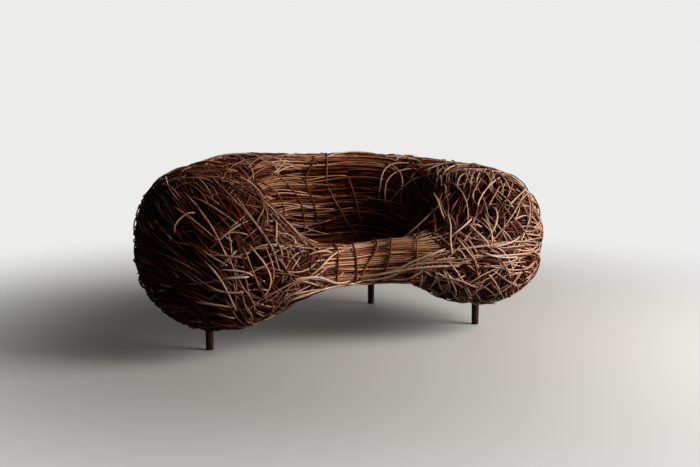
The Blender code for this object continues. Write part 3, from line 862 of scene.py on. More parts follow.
def sort_out(level, angle, batch):
    """Keep stems with the part of the chair that they start on, and drop those that double back, as no stem
    would."""
    line = wall(batch[0], batch[1])
    travel = np.linalg.norm(np.diff(line, axis=1), axis=2).sum(axis=1)
    fair = np.linalg.norm(line[:, -1] - line[:, 0], axis=1) > STRAIGHT_SHARE * travel
    degrees = np.degrees(angle)
    masks = {"left_arm": degrees < -ARMS_FROM, "right_arm": degrees > ARMS_FROM,
             "outer_back": np.abs(degrees) <= ARMS_FROM}
    for sector, mask in masks.items():
        sectors[sector][level].append(laid(*[part[mask & fair] for part in batch]))


def with_painted_shade(shade, angle, turn):
    """Shades with painted shade on the left lobe, the right arm's seat side and beside the roll's right end.
    """
    degrees, side = np.degrees(angle), seat_side(turn)
    # painted shade on the seat side of the right arm, and beside the right end of the roll
    shade = shade * (1 - 0.5 * smooth(112, 130, side) * smooth(45, 60, degrees))
    shade = shade * (1 - 0.45 * smooth(118, 130, degrees) * smooth(36, 60, side))
    # painted shade on the left lobe, less of it on its front by the seat, which faces the light
    return shade * (1 - 0.45 * smooth(45, 90, -degrees) + 0.17 * smooth(118, 132, -degrees))


for number, (density, lengths, tops, dives, shades) in enumerate(LAYERS):
    angle, turn = scattered(density)
    count = len(angle)
    bend = rng.normal(0, BEND, count) * np.where((angle < CALM_TO) & (angle > CALM_FROM), CALM_SHARE, 1.0)
    angles, turns = grown(angle, turn, courses(angle, turn), bend, rng.uniform(*lengths, count))
    lift = tucked(STEM_POINTS, rng.uniform(*tops, count), rng.uniform(*dives, count), 3.0)
    pale = rng.uniform(0, 1, count) < 0.5
    low, high = shades
    middle = (low + high) / 2
    pale_tone = rng.uniform(middle + 0.1, high + 0.1, count)
    dark_tone = rng.uniform(low, middle - 0.1, count)
    # the shades get painted shade where the light does not reach
    shade = with_painted_shade(np.where(pale, pale_tone, dark_tone), angle, turn)
    batch = angles, turns, lift, rng.uniform(*TANGLE_RADII, count), shade
    sort_out(0 if number < BED_LAYERS else 1, angle, batch)
    print("layer", number + 1, "has", count, "stems")

# %% [markdown]
# ## Free ends
# Some short stems have one end that sticks out, which gives the outline its bristles. Hair could be grown
# from the wall for this, but these are as thick as the rest, so they are stems like the others that rise to
# one end. Then each part of the nest becomes two pieces, the dark bed and the tangle over it.

# %% Free ends
FREE_ENDS = 70  # short stems per square metre
FREE_BEND, FREE_LENGTHS, FREE_RADII = 0.05, (0.10, 0.20), (0.0024, 0.0033)
FREE_ROOT, FREE_RISE = 0.010, (0.012, 0.024)
angle, turn = scattered(FREE_ENDS)
count = len(angle)
angles, turns = grown(angle, turn, courses(angle, turn), rng.normal(0, FREE_BEND, count),
                      rng.uniform(*FREE_LENGTHS, count))
rise = rng.uniform(*FREE_RISE, count)[:, None]
lift = rise * np.linspace(0, 1, STEM_POINTS) ** 1.3 - FREE_ROOT
batch = angles, turns, lift, rng.uniform(*FREE_RADII, count), rng.uniform(0.4, 1.0, count)
sort_out(1, angle, batch)

stands_for = {"outer_back": ["back_outer_wall"]}
for arm in ("left_arm", "right_arm"):
    stands_for[arm] = [f"{arm}_inner_wall", f"{arm}_outer_wall", *[f"{arm}_cane_{n}" for n in range(1, 5)]]
for sector, (bed, top) in sectors.items():
    bed_canes = stems(f"{sector}_bed", bed, bed_shade_look)
    top_canes = stems(f"{sector}_tangle", top, tangle_look)
    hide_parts(*stands_for[sector])

# %% [markdown]
# ## Canes laid side by side
# The inside of the back and the front roll are smooth to sit against: stems run round the ring next to each
# other, and their ends go under the tangle of the arms. An array of straight rods bent by a curve would
# look like a blind. So a bed of full rows, dark with painted shade, comes first, and over it shorter stems
# are strewn, each with a drift and a sway of its own.

# %% Laid rows
SECTION_STEPS = 1441
END_DIVE, END_POWER = 0.012, 8.0
UNDER_TANGLE = 0.016


def even_turns(angle, start, stop, pitch):
    """Turns one pitch apart along the section at this angle."""
    fine = np.radians(np.linspace(start, stop, SECTION_STEPS))
    points = wall(np.full(SECTION_STEPS, angle), fine)
    length = np.concatenate([[0], np.cumsum(np.linalg.norm(np.diff(points, axis=0), axis=1))])
    return np.interp(np.arange(0, length[-1], pitch), length, fine)


def along_ring(batch, start, stop, wander, sizes, points, painted_light_tilt):
    """Stems from rows of (turn, first end, last end, lift, shade); the ends are shares of the way round. The
    tilt paints light and shade: stems near the start are made paler and those near the end darker."""
    count = len(batch)
    share = np.clip(np.linspace(batch[:, 1], batch[:, 2], points, axis=1), 0, 1)
    off = share - share.mean(axis=1, keepdims=True)
    drift = rng.normal(0, wander, (count, 1)) * off
    wave = rng.normal(0, wander / 5, (count, 1))
    sway = wave * np.sin(share * rng.uniform(5, 11, (count, 1)) + rng.uniform(0, 6, (count, 1)))
    turns = batch[:, :1] + drift + sway
    angles = np.radians(start + (stop - start) * share)
    height = tucked(points, batch[:, 3], np.full(count, END_DIVE), END_POWER)
    height = height - UNDER_TANGLE * smooth(0.45, 0.95, tangle_share(angles, turns))
    # painted light and shade: paler towards the start, darker towards the end
    shade = batch[:, 4] + painted_light_tilt * (0.5 - share.mean(axis=1))
    return laid(angles, turns, height, rng.uniform(*sizes, count), shade)


def rows(turns, start, stop, lift, shades, wander, points=13, sizes=(0.0030, 0.0038), painted_light_tilt=0.0):
    """Stems side by side along the ring, two to a row that meet at a random place."""
    batch = []
    for turn in turns:
        meet = rng.uniform(0.3, 0.7)
        for low, high in ((0.0, meet + 0.06), (meet - 0.06, 1.0)):
            ends = np.array([low, high]) + rng.uniform(-0.03, 0.03, 2)
            batch.append((turn, *ends, rng.uniform(*lift), rng.uniform(*shades)))
    return along_ring(np.array(batch), start, stop, wander, sizes, points, painted_light_tilt)


def strewn(turns, number, span, start, stop, lift, shades, wander, sizes, painted_light_tilt):
    """Shorter stems strewn along the ring, each at a place of its own."""
    middle = rng.uniform(0, 1, number)
    half = rng.uniform(*span, number) / 2
    batch = np.stack([rng.choice(turns, number) + rng.normal(0, 0.02, number), middle - half, middle + half,
                      rng.uniform(*lift, number), rng.uniform(*shades, number)], axis=-1)
    return along_ring(batch, start, stop, wander, sizes, 11, painted_light_tilt)


print("section of the back:", len(even_turns(0.0, -180, 180, 0.01)), "cm round")

# %% [markdown]
# ## The inside of the back
# Long thin stems lie lengthwise from arm to arm, with here and there a stray that crosses them. The strays
# could be placed one by one, but none of them matters by itself, so they are strewn like the rest with a
# wider drift.

# %% Inner back
back_turns = even_turns(0.0, 64, 266, 0.0080)
back_under = rows(back_turns, -124, 124, (-0.012, -0.007), (0.2, 0.9), 0.04, 19)
back_bed = stems("inner_back_bed", [back_under], bed_shade_look)
# the back gets painted light on its left and painted shade on its right
back_middle = strewn(back_turns, 400, (0.12, 0.36), -122, 122, (-0.007, -0.002), (-0.1, 0.6), 0.10,
                     (0.0021, 0.0030), painted_light_tilt=0.8)
back_face = strewn(back_turns, 300, (0.12, 0.38), -122, 122, (-0.002, 0.005), (0.0, 1.1), 0.16,
                   (0.0020, 0.0028), painted_light_tilt=0.8)
back_stray = strewn(back_turns, 90, (0.08, 0.24), -110, 110, (0.002, 0.006), (0.3, 1.1), 0.55,
                    (0.0020, 0.0027), painted_light_tilt=0.8)
back_rows = stems("inner_back_canes", [back_middle, back_face, back_stray], laid_look)
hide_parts("back_inner_canes", *[f"rim_cane_{n}" for n in range(1, 4)])

# %% [markdown]
# ## The front roll
# The roll is a bundle of the same stems, bound into a low bolster. One thick tube with stripes would show
# no ends; three layers of stems do, and thin ones on top leave dark gaps between them.

# %% Front roll
roll_turns = even_turns(np.pi, -180, 180, 0.0084)
roll_under = rows(roll_turns, 126, 234, (-0.012, -0.008), (0.1, 0.8), 0.03)
roll_bed = stems("front_roll_bed", [roll_under], bed_shade_look)
# the roll gets painted light on its right half and painted shade on its left half
roll_middle = rows(roll_turns + 0.01, 126, 234, (-0.006, 0.000), (0.15, 1.35), 0.06,
                   sizes=(0.0022, 0.0031), painted_light_tilt=0.9)
roll_face = strewn(roll_turns, 80, (0.3, 0.9), 126, 234, (0.000, 0.005), (0.15, 1.35), 0.13,
                   (0.0019, 0.0028), painted_light_tilt=0.9)
roll_rows = stems("front_roll_rows", [roll_middle, roll_face], laid_look)
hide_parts("front_roll_canes")

# %% [markdown]
# ## Seat
# The seat is a shallow trough of the same canes from arm to arm, so its rows run across the chair and rise
# at the ends. A dished plane with grooves would do from afar; two layers of stems also show between the
# arms from above. Each row ends where the seat side of the ring is nearest.

# %% Seat
SEAT_HEIGHT = 0.330
SEAT_DISH = 0.020
SEAT_PITCH = 0.0071
SEAT_RADII = (0.0036, 0.0044)
SEAT_LAYERS = ((0.0, 0.006), (0.0038, 0.0))  # shift to the back, drop
half_turn = np.radians(np.linspace(0, 180, 361))
reach = np.min([np.linalg.norm((wall(half_turn, np.full(361, t)) - [0, RING_Y, 0])[:, :2], axis=1)
                for t in np.radians(np.linspace(165, 215, 11))], axis=0)
edge_x, edge_y = reach * np.sin(half_turn), reach * np.cos(half_turn)
frontmost = int(edge_y.argmin())
edge_x, edge_y = edge_x[frontmost::-1], edge_y[frontmost::-1]
share = np.linspace(-1.0, 1.0, 11)
lines, tones, sizes = [], [], []
for shift, drop in SEAT_LAYERS:
    for y in np.arange(edge_y[0] - 0.004, edge_y[-1] + 0.004, SEAT_PITCH):
        end = np.interp(y, edge_y, edge_x) + rng.uniform(0.008, 0.016)
        sway = rng.normal(0, 0.0016) * np.sin(share * rng.uniform(2, 5) + rng.uniform(0, 6))
        z = SEAT_HEIGHT + SEAT_DISH * np.abs(share) ** 3 - drop + rng.uniform(-0.001, 0.0015)
        lines.append(np.stack([share * end, y + shift + sway + RING_Y, z], axis=-1))
        # the seat rows are given dark tones: painted shade in the hollow of the seat
        tones.append(rng.uniform(0.0, 0.5))
        sizes.append(rng.uniform(*SEAT_RADII))
lines = np.array(lines)
seat = stems("seat_rows", [swept(lines, np.zeros_like(lines) + [0, 0, 1.0], sizes, tones)], laid_look)
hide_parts("seat_canes")

# %% [markdown]
# ## Bindings
# Thin strands cross the laid canes and hold them: five round the roll and six over the back. A cord tool
# could wrap them, but each takes its own line in the photograph, so each is written as pairs of angle and
# turn in degrees and eased like a springy stem.

# %% Bindings
BINDING_POINTS = 17
BINDING_DIVE = 0.010
WRAP_LIFT, WRAP_RADIUS = 0.0085, 0.0040
TIE_LIFT, TIE_RADIUS = 0.0075, 0.0027
WRAPS = (
    ((158, -60), (157.5, 0), (156.5, 34), (153, 78), (147, 110), (142, 143)),
    ((171, -60), (169.5, -1), (167.5, 16), (166, 45), (163, 79), (160.5, 100), (157, 130)),
    ((187, -50), (183.5, 0), (178.5, 13), (174, 35), (169.5, 88), (167, 130)),
    ((189, -60), (189, -6), (189.5, 44), (189, 79), (188.5, 100), (187, 140)),
    ((201, -60), (200.5, -2), (200, 35), (201, 73), (206, 105), (212, 140)),
)
TIES = (
    ((-64, 138), (-55, 149), (-42.5, 165), (-38.5, 179), (-37.5, 194)),
    ((-46, 134), (-32.5, 151), (-23.5, 161), (-16.5, 171), (-15, 179), (-14.5, 194)),
    ((4, 100), (0, 124), (-12.5, 146), (-5, 164), (6, 192)),
    ((14.5, 80), (14, 112), (12.5, 134), (12, 150)),
    ((13, 154), (15, 159), (21.5, 171), (30, 181), (37.5, 190), (42, 198)),
    ((33, 145), (38.5, 161), (45.5, 183), (49, 198)),
)


def strand(points, count):
    """Places evenly along a line through the given ones, eased like a springy stem."""
    marks = np.array(points, float)
    spread = np.concatenate([[0], np.cumsum(np.linalg.norm(np.diff(marks[:, :2], axis=0), axis=1))])
    fine = 4 * (count - 1) + 1
    at = np.linspace(0, spread[-1], fine)
    line = np.stack([np.interp(at, spread, column) for column in marks.T], axis=-1)
    for _ in range(30):
        line[1:-1] = 0.25 * line[:-2] + 0.5 * line[1:-1] + 0.25 * line[2:]
    return line[::4]


def binding(name, points, lift, radius, shade):
    """One strand as a piece of its own."""
    line = np.radians(strand(points, BINDING_POINTS))
    height = tucked(BINDING_POINTS, np.array([lift]), np.array([BINDING_DIVE]), 10.0)
    return stems(name, [laid(line[None, :, 0], line[None, :, 1], height, [radius], [shade])], bound_look)


for number, points in enumerate(WRAPS, start=1):
    piece = binding(f"roll_binding_{number}", points, WRAP_LIFT, WRAP_RADIUS, rng.uniform(0.35, 0.75))
    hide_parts(f"roll_wrap_{number}")
for number, points in enumerate(TIES, start=1):
    piece = binding(f"back_binding_{number}", points, TIE_LIFT, TIE_RADIUS, rng.uniform(0.5, 0.9))
    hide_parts(f"back_tie_{number}")

# %% [markdown]
# ## Canes that stand out
# Some stems are easy to pick out in the photograph, and they give this nest its face. They could be drawn
# in the viewport over a background picture; here a few pixels along each are written down, and the camera
# tells which place of the wall lies behind each pixel. So a stem sits on the wall from every side. A first
# number gives its height over the wall in millimetres, and both ends dive under their neighbours.

# %% Pixels to places
SPOT_REACH = 2.2  # pixels
SAME_FACE = 0.10  # metres of depth
JUMP_COST = 4  # pixels for a radian
ENDS_UNDER = -5  # millimetres
spot_angle, spot_turn = (grid.ravel() for grid in np.meshgrid(
    np.radians(np.arange(-180, 180, 0.5)), np.radians(np.arange(-110, 250, 1.0)), indexing="ij"))
sight = wall(spot_angle, spot_turn) - np.array(CAMERA_PLACE)
faced = np.sum(sight * normal(spot_angle, spot_turn), axis=-1) < 0
spot_angle, spot_turn, sight = spot_angle[faced], spot_turn[faced], sight[faced]
away = sight @ np.array(forward)
spot_x = PHOTO_WIDTH / 2 + FOCUS * (sight @ camera_right) / away
spot_y = PHOTO_HEIGHT / 2 - FOCUS * (sight @ camera_up) / away


def traced(height, *pixels):
    """Angle, turn and height along a stem: the nearest visible place behind each pixel, close to the last."""
    points = []
    for number, (x, y) in enumerate(pixels):
        off = np.hypot(spot_x - x, spot_y - y)
        near = off < max(SPOT_REACH, off.min() + 1)
        near &= away < away[near].min() + SAME_FACE
        if points:
            jump = (spot_angle - np.radians(points[-1][0]) + np.pi) % (2 * np.pi) - np.pi
            off = off + JUMP_COST * np.hypot(jump, 0.5 * (spot_turn - np.radians(points[-1][1])))
        best = np.where(near, off, np.inf).argmin()
        angle, turn = np.degrees(spot_angle[best]), np.degrees(spot_turn[best])
        if points:
            angle -= 360 * round((angle - points[-1][0]) / 360)
        points.append((angle, turn, ENDS_UNDER if number in (0, len(pixels) - 1) else height))
    return tuple(points)


print("places in view:", len(spot_x))

# %% [markdown]
# ## Stems round the roll
# Long sweeps come out from under the roll and fan into the right arm, and others leave the left lobe and
# run along the underside of the roll. Four more that lie between them are given by their places on the
# ring, as angle, turn and height.

# %% Roll stems
roll_sweeps = (
    traced(11, (345, 280), (355.8, 275.3), (376.8, 272.6), (395.8, 271.6), (408.4, 265.8), (423.2, 259.5),
           (439, 252), (447, 248)),
    traced(9, (350, 281), (361, 277.9), (382, 278.4), (391.6, 274.7), (404.2, 269), (421, 260.5),
           (440, 251), (450, 247)),
    traced(9, (383, 277), (392.6, 278.4), (404.2, 278.9), (413.7, 275.3), (421, 270), (430, 264)),
    traced(11, (398, 270), (408.4, 265.8), (421, 262.6), (440, 262.6), (452, 261)),
    traced(10, (405, 274), (416.8, 269), (440, 265.8), (456, 265), (466, 264)),
    traced(8, (402, 271), (412, 266), (424, 262), (438, 261), (455, 262.5), (468, 263.5)),
    traced(7, (400, 268), (411, 262), (424, 257), (438, 254), (452, 255)),
    ((170, 0, -4), (163, 3, 7), (154, 7, 9), (143, 7, 8), (135, 4, -4)),
    ((163, 6, -4), (155.5, 21, 8), (143.5, 28, 10), (133.5, 14, 8), (126, 8, -4)),
    ((148, 28, -4), (140, 23, 8), (130.5, 16, 9), (125, 5, 9), (113, -2, 7), (102, -6, -5)),
    ((146, 12, -4), (138.5, 7, 7), (129, -1, 8), (120, -2, 8), (108, -8, -4)),
)
roll_fan = (
    traced(10, (240, 309), (253.7, 303.7), (271.6, 295.3), (284.2, 282.6), (292.6, 277.4), (303.2, 274.7),
           (313.7, 275.8), (326.3, 279.5), (340, 282.1)),
    traced(9, (286, 283), (299, 276.3), (311.6, 276.3), (324.2, 280.5), (345.3, 283.2), (356, 283)),
    traced(8, (290.5, 282.6), (303.2, 279.5), (320, 284.7), (329.5, 286.8), (340, 288)),
    traced(11, (316, 274), (329.5, 279.5), (345, 282.5), (366.3, 281.6), (385.3, 281)),
    traced(8, (283, 303), (287.4, 300.5), (299, 295.3), (308.4, 292), (320, 291), (332.6, 289.5),
           (341, 286.8), (350.5, 283.7), (364, 282.6)),
    traced(10, (278, 300), (287.4, 293.2), (303.2, 289.5), (318, 287.5), (329.5, 288), (340, 286)),
    traced(9, (262, 306), (275, 300), (283, 290), (292, 284), (302, 280)),
)
print("stems round the roll:", len(roll_sweeps) + len(roll_fan))

# %% [markdown]
# ## Sprung arcs and long stems
# Some stems spring off the wall in an arc or a loop, mostly over the rim and inside the right arm, and some
# run long ways over a lobe. A pixel tells nothing about how far a stem stands off, so these are given by
# their places on the ring, with a height for each point.

# %% Sprung stems
sprung_stems = (
    ((-72, 76, -4), (-59.5, 78, 9), (-52, 84, 14), (-46, 95, 10), (-38, 110, -4)),
    ((6, 114, -4), (16.5, 104, 5), (27, 92, 8), (34, 88, 9), (42.5, 87, 7), (52, 94, -4)),
    ((96, 130, -4), (103.5, 121, 6), (104, 104, 11), (108.5, 86, 9), (116, 76, -5)),
    ((80, 124, -4), (86, 114, 6), (87, 96, 11), (96, 87, 10), (106, 80, -5)),
    ((-92, 46, -5), (-84, 62, 8), (-79.5, 76, 13), (-80, 88, 9), (-74, 102, -4)),
    ((60, 168, -4), (60, 145, 9), (59, 127, 13), (62.5, 117, 10), (72, 106, -5)),
    ((66, 172, -4), (65.5, 160, 9), (63.5, 149, 13), (67.5, 131, 10), (76, 116, -5)),
    ((56, 112, -4), (66.5, 127, 8), (74, 136, 12), (77, 146, 9), (78, 166, -4)),
    ((68, 170, -4), (76.5, 152, 8), (82.5, 137, 10), (92, 118, -5)),
    ((160, 162, -4), (148, 140, 8), (140.5, 125, 12), (134, 119, 9), (122, 110, -5)),
    ((-90, 56, -6), (-100, 62, 10), (-107, 60, 12), (-116, 50, -6)),
    ((-106, 68, -6), (-114.5, 57, 8), (-121, 51, 9), (-127.5, 19, 9), (-131, 0, -5)),
    ((-96, 102, -6), (-105.5, 92, 8), (-124, 84, 9), (-134, 56, 9), (-139, 36, -5)),
    ((-114, 98, -6), (-123, 84, 8), (-133, 66, 9), (-139.5, 22, 9), (-141, 0, -5)),
    ((-126, 104, -6), (-133.5, 90, 8), (-143, 68, 8), (-147, 48, -5)),
    ((-132, 38, -6), (-136, 17, 8), (-139, -2, 9), (-135.5, -28, 8), (-130, -48, -5)),
    ((-116, -10, -6), (-125, -4, 8), (-132.5, 0, 8), (-135, 8, 8), (-141, 24, -5)),
    ((-116, -2, -6), (-124, -9, 7), (-131, -13, 8), (-138, -38, 8), (-141, -56, -5)),
    ((116, 136, -6), (123, 123, 8), (134.5, 98, 9), (140, 78, -5)),
    ((130, 108, -6), (135.5, 91, 8), (146, 37, 8), (148, 8, -5)),
    ((145, 82, -6), (143, 58, 9), (140, -16, 9), (137, -38, -5)),
    ((102, 66, -6), (110.5, 52, 8), (119.5, 33, 10), (126.5, 13, 9), (131, -6, -5)),
    ((132, 70, -6), (127, 82, 9), (117, 80, 9), (108, 72, -5)),
    ((139, 14, -6), (132, 31, 9), (122.5, 47, 10), (113.5, 49, 8), (104, 46, -5)),
    ((110, 120, -6), (119, 105, 8), (133, 80, 9), (139, 58, -5)),
    ((-44, 142, -4), (-35.5, 135, 6), (-26, 130, 8), (-17.5, 125, 7), (-8, 122, -4)),
    ((-106, 112, -5), (-116, 114, 9), (-126, 112, 11), (-134, 106, 11), (-140, 96, 10), (-147, 80, 8),
     (-153, 62, -4)),
    ((-112, 104, -5), (-122, 104, 9), (-131, 99, 11), (-138, 90, 10), (-145, 74, 8), (-151, 54, -4)),
    ((-104, 122, -5), (-113, 124, 8), (-122, 124, 10), (-131, 116, 9), (-138, 106, -4)),
)
print("sprung stems:", len(sprung_stems))

# %% [markdown]
# ## Stems on the left lobe
# On the left lobe long stems sweep down towards the seat, with a few that cross them. Random stems alone
# would give the texture but not these lines, so they are read off the photograph like those of the roll.

# %% Left lobe stems
left_stems = (
    traced(11, (166, 176), (168.4, 179.5), (170, 190), (176, 199), (182, 204)),
    traced(11, (170, 194), (177, 190), (185, 186), (195, 185), (203, 187)),
    traced(9, (204, 163), (208.6, 160.7), (215.7, 156.5), (230, 157), (240.7, 162.5), (247, 168)),
    traced(9, (247, 168), (253, 163), (266, 157.5), (278, 156)),
    traced(9, (184, 217), (189, 221), (208.6, 239), (230, 250), (236, 253)),
    traced(9, (199, 248), (205, 252), (223, 263), (229, 267)),
    traced(10, (219, 270), (226.4, 269.6), (244, 270.5), (253, 275), (258, 280)),
    traced(9, (224, 311), (230, 310.7), (255, 305), (275, 295), (283, 288)),
    traced(9, (219, 268), (223, 264), (233.6, 253.6), (237, 250)),
    traced(9, (243, 247), (246, 252.7), (253, 271.4), (258.6, 287.5), (260, 293)),
    traced(10, (257, 223), (258.6, 219.6), (263, 211), (262, 205), (260, 201)),
    traced(9, (263, 244), (265.7, 250), (273, 271), (271, 282), (269, 288)),
    traced(10, (268, 231), (276, 234), (289, 241), (298, 250), (304, 257)),
    traced(9, (196, 178), (201, 182), (208.6, 191), (214, 200)),
    traced(8, (172, 205), (180, 211), (196, 222), (213, 236), (220, 242)),
    traced(8, (190, 195), (203, 203), (220, 213), (236, 224), (243, 229)),
    traced(8, (205, 200), (222, 207), (238, 220), (250, 236), (255, 244)),
    traced(7, (150, 250), (163, 252), (180, 260), (196, 270), (204, 276)),
    traced(7, (160, 285), (172, 287), (190, 290), (205, 297), (212, 300)),
)
print("stems on the left lobe:", len(left_stems))

# %% [markdown]
# ## Stems on the right lobe
# On the right lobe steep arcs cross from both sides, and level stems wrap its far side. They catch the most
# light, so here too the lines of the photograph are followed and not left to chance.

# %% Right lobe stems
right_stems = (
    traced(9, (441, 176), (446, 171.5), (456, 167.5), (470, 166), (484, 168), (491, 174), (494, 181)),
    traced(10, (456, 188), (459, 180), (464, 176), (470, 176), (477, 181)),
    traced(10, (470, 199), (474, 193), (479, 184), (482, 178)),
    traced(10, (478, 201), (483, 195), (490, 186), (493, 178), (491, 172)),
    traced(10, (488, 206), (493, 197), (498, 190), (500, 184)),
    traced(10, (508, 206), (513, 201), (519, 195), (524, 189), (527, 185)),
    traced(10, (514, 206), (519, 201), (525, 195), (529, 190)),
    traced(11, (526, 193), (529, 200), (530, 212), (527, 225), (521, 236), (515, 241)),
    traced(10, (527, 190), (533, 195), (539, 204), (542, 213), (541, 220)),
    traced(11, (522, 226), (530, 228), (539, 230), (545, 232), (549, 236)),
    traced(10, (519, 233), (528, 235), (538, 236), (545, 237)),
    traced(11, (517, 243), (527, 240), (537, 238), (546, 238), (550, 240)),
    traced(10, (521, 247), (530, 250), (537, 256), (540, 264), (538, 270)),
    traced(9, (452, 235), (457, 240), (466, 251), (474, 262), (480, 270)),
    traced(8, (446, 252), (451, 250), (459, 250), (463, 256), (470, 264)),
    traced(9, (484, 262), (490, 266), (499, 268), (510, 262), (516, 258)),
    traced(9, (497, 256), (502, 262), (508, 272), (511, 279)),
    traced(9, (432, 277), (444, 276), (459, 279), (472, 285), (480, 288)),
    traced(9, (487, 273), (493, 279), (498, 289), (500, 296)),
    traced(11, (530, 286), (535, 281), (538, 272), (539, 262), (537, 255)),
    traced(8, (443, 270), (447, 277), (449, 287), (447, 292)),
    traced(9, (463, 282), (467, 288), (470, 294), (473, 297)),
    traced(9, (492, 270), (501, 277), (512, 284), (522, 287)),
)
print("stems on the right lobe:", len(right_stems))

# %% [markdown]
# ## Stems beside the roll and over the rim
# Where a lobe meets the roll the stems bunch up, and on the left of the back a handful of arcs cross the
# rim, which breaks its even line.

# %% Rim stems
roll_side_stems = (
    traced(11, (291, 279), (303.6, 280), (316.4, 284), (325, 285.5)),
    traced(12, (270, 308), (281, 299), (292, 291), (305, 286), (318, 283)),
    traced(11, (369, 278.5), (380.7, 278), (392, 274.5), (403.6, 271.4)),
    traced(11, (392, 279), (405, 277.9), (416.4, 272.9), (424, 269)),
    traced(12, (272, 199), (281, 218), (290, 233), (303, 241), (313, 249)),
    traced(11, (245, 186), (254, 195), (262, 206), (270, 214)),
    traced(11, (283, 262), (281, 252), (276, 243), (272, 238)),
)
rim_stems = (
    traced(5, (204, 168), (209, 163), (217, 159), (228, 157.5), (240, 158.5), (246, 161)),
    traced(7, (248, 173), (258, 165), (270, 159.5), (287, 156), (308, 155.5), (318, 158)),
    traced(9, (225, 175), (234, 167), (246, 161.5), (262, 159), (272, 160)),
    traced(9, (246, 182), (252, 176), (261, 170), (276, 166), (295, 165.5), (303, 167)),
    traced(9, (236, 158), (242, 161), (248, 166), (252, 174), (254, 181)),
    traced(9, (178, 177), (184, 172), (193, 169), (204, 168), (212, 169)),
    traced(9, (192, 180), (199, 175.5), (208, 173), (218, 174.5), (229, 180)),
    traced(8, (262, 160), (270, 163), (276, 169), (279, 176)),
    traced(8, (286, 158), (283, 164), (277, 171), (270, 176)),
)
print("stems beside the roll and over the rim:", len(roll_side_stems) + len(rim_stems))

# %% [markdown]
# ## Pale stems and the rim sheaf
# A few stems are nearly straw-coloured: sweeps along the roll, a forked crossing on the right lobe and a
# sprung arc on the left one. They are a little thicker and lie on top of the rest. Along the top of the
# back lies a sheaf of long stems, dark with painted shade, given by their places on the ring.

# %% Pale stems
pale_stems = (
    traced(12, (290, 281), (297, 277.5), (306.4, 274.3), (317.9, 276.4), (332, 281), (343.6, 281.5),
           (355, 279)),
    traced(11, (287, 303), (295, 296), (303.6, 291.5), (320.7, 287), (338, 284), (350.7, 281), (370, 280)),
    traced(15, (307.9, 277.9), (316.4, 268.6), (330.7, 255.7), (344.3, 250)),
    traced(15, (308, 254.5), (313.6, 253.6), (324, 253), (334, 252.9)),
    traced(14, (349, 277.9), (372, 273.6), (392, 271.4), (413.6, 268), (432, 264.5), (453, 264),
           (462, 266)),
    traced(14, (380, 273), (390, 271), (403.6, 266), (420.7, 257.9), (440.7, 250.7), (448, 248)),
    traced(14, (276, 232), (284, 234.5), (292, 240), (297, 249)),
    traced(12, (259, 200), (266, 207), (277, 219), (281, 228)),
    traced(12, (275, 218), (275.5, 226), (275, 237), (277, 246)),
    traced(17, (449, 240), (455, 235), (462, 230), (468, 225), (473, 216)),
    traced(17, (466, 223), (469, 228), (476, 234), (484, 242), (490, 248)),
    traced(16, (464, 226), (471, 226.5), (477, 227), (482, 227)),
    traced(14, (433, 193), (435, 197), (440, 207), (443, 217), (446, 222)),
    traced(15, (446, 212), (447, 216), (450, 228.6), (449.5, 241), (451, 252), (452, 256)),
    traced(15, (480, 218), (482.5, 221), (489, 232), (489.6, 244.6), (489, 249)),
    traced(15, (493, 206), (494, 210), (496, 221), (491, 232), (488, 238)),
    traced(15, (479, 251), (484, 253.6), (497, 257), (513, 257), (519, 256)),
    traced(15, (486, 248), (491, 247), (504, 244.6), (514.6, 239), (520, 236)),
    traced(21, (175.5, 236), (176, 228.6), (181.8, 221.4), (190.7, 215), (197, 213.4)),
    traced(14, (206, 285), (212, 287.5), (226.4, 291), (241.6, 291.6), (247, 291)),
    traced(14, (193, 300), (198.8, 301), (215.7, 301.8), (230, 304.5), (236, 306)),
    traced(15, (222, 278), (228, 277), (246, 277), (251, 276)),
    traced(14, (198, 255), (203, 259), (221, 275), (232, 298), (234.5, 307), (236, 312)),
)
rim_sheaf = (
    ((-70, 112, -4), (-60, 104, 3), (-48, 98, 6), (-36, 95, 6), (-24, 95, 5), (-12, 98, 2), (-4, 104, -4)),
    ((-66, 100, -4), (-54, 92, 3), (-42, 90, 6), (-30, 92, 6), (-18, 97, 3), (-8, 106, -4)),
    ((-58, 118, -4), (-48, 108, 2), (-36, 101, 5), (-22, 100, 5), (-8, 96, 6), (6, 97, 4), (18, 102, -4)),
    ((-20, 108, -4), (-8, 98, 4), (4, 97, 5), (16, 99, 5), (28, 101, 3), (40, 104, -4)),
    ((2, 104, -4), (14, 97, 3), (28, 98, 5), (42, 98, 4), (54, 100, -4)),
)
print("pale stems:", len(pale_stems), "and in the sheaf:", len(rim_sheaf))

# %% [markdown]
# ## Laying the single canes
# Each stem is led through its places and eased once more in space, because a springy stem has no kinks: a
# curve of the fourth degree takes them out and keeps an arc or an S. Stems on the left lobe get painted
# shade like their neighbours.

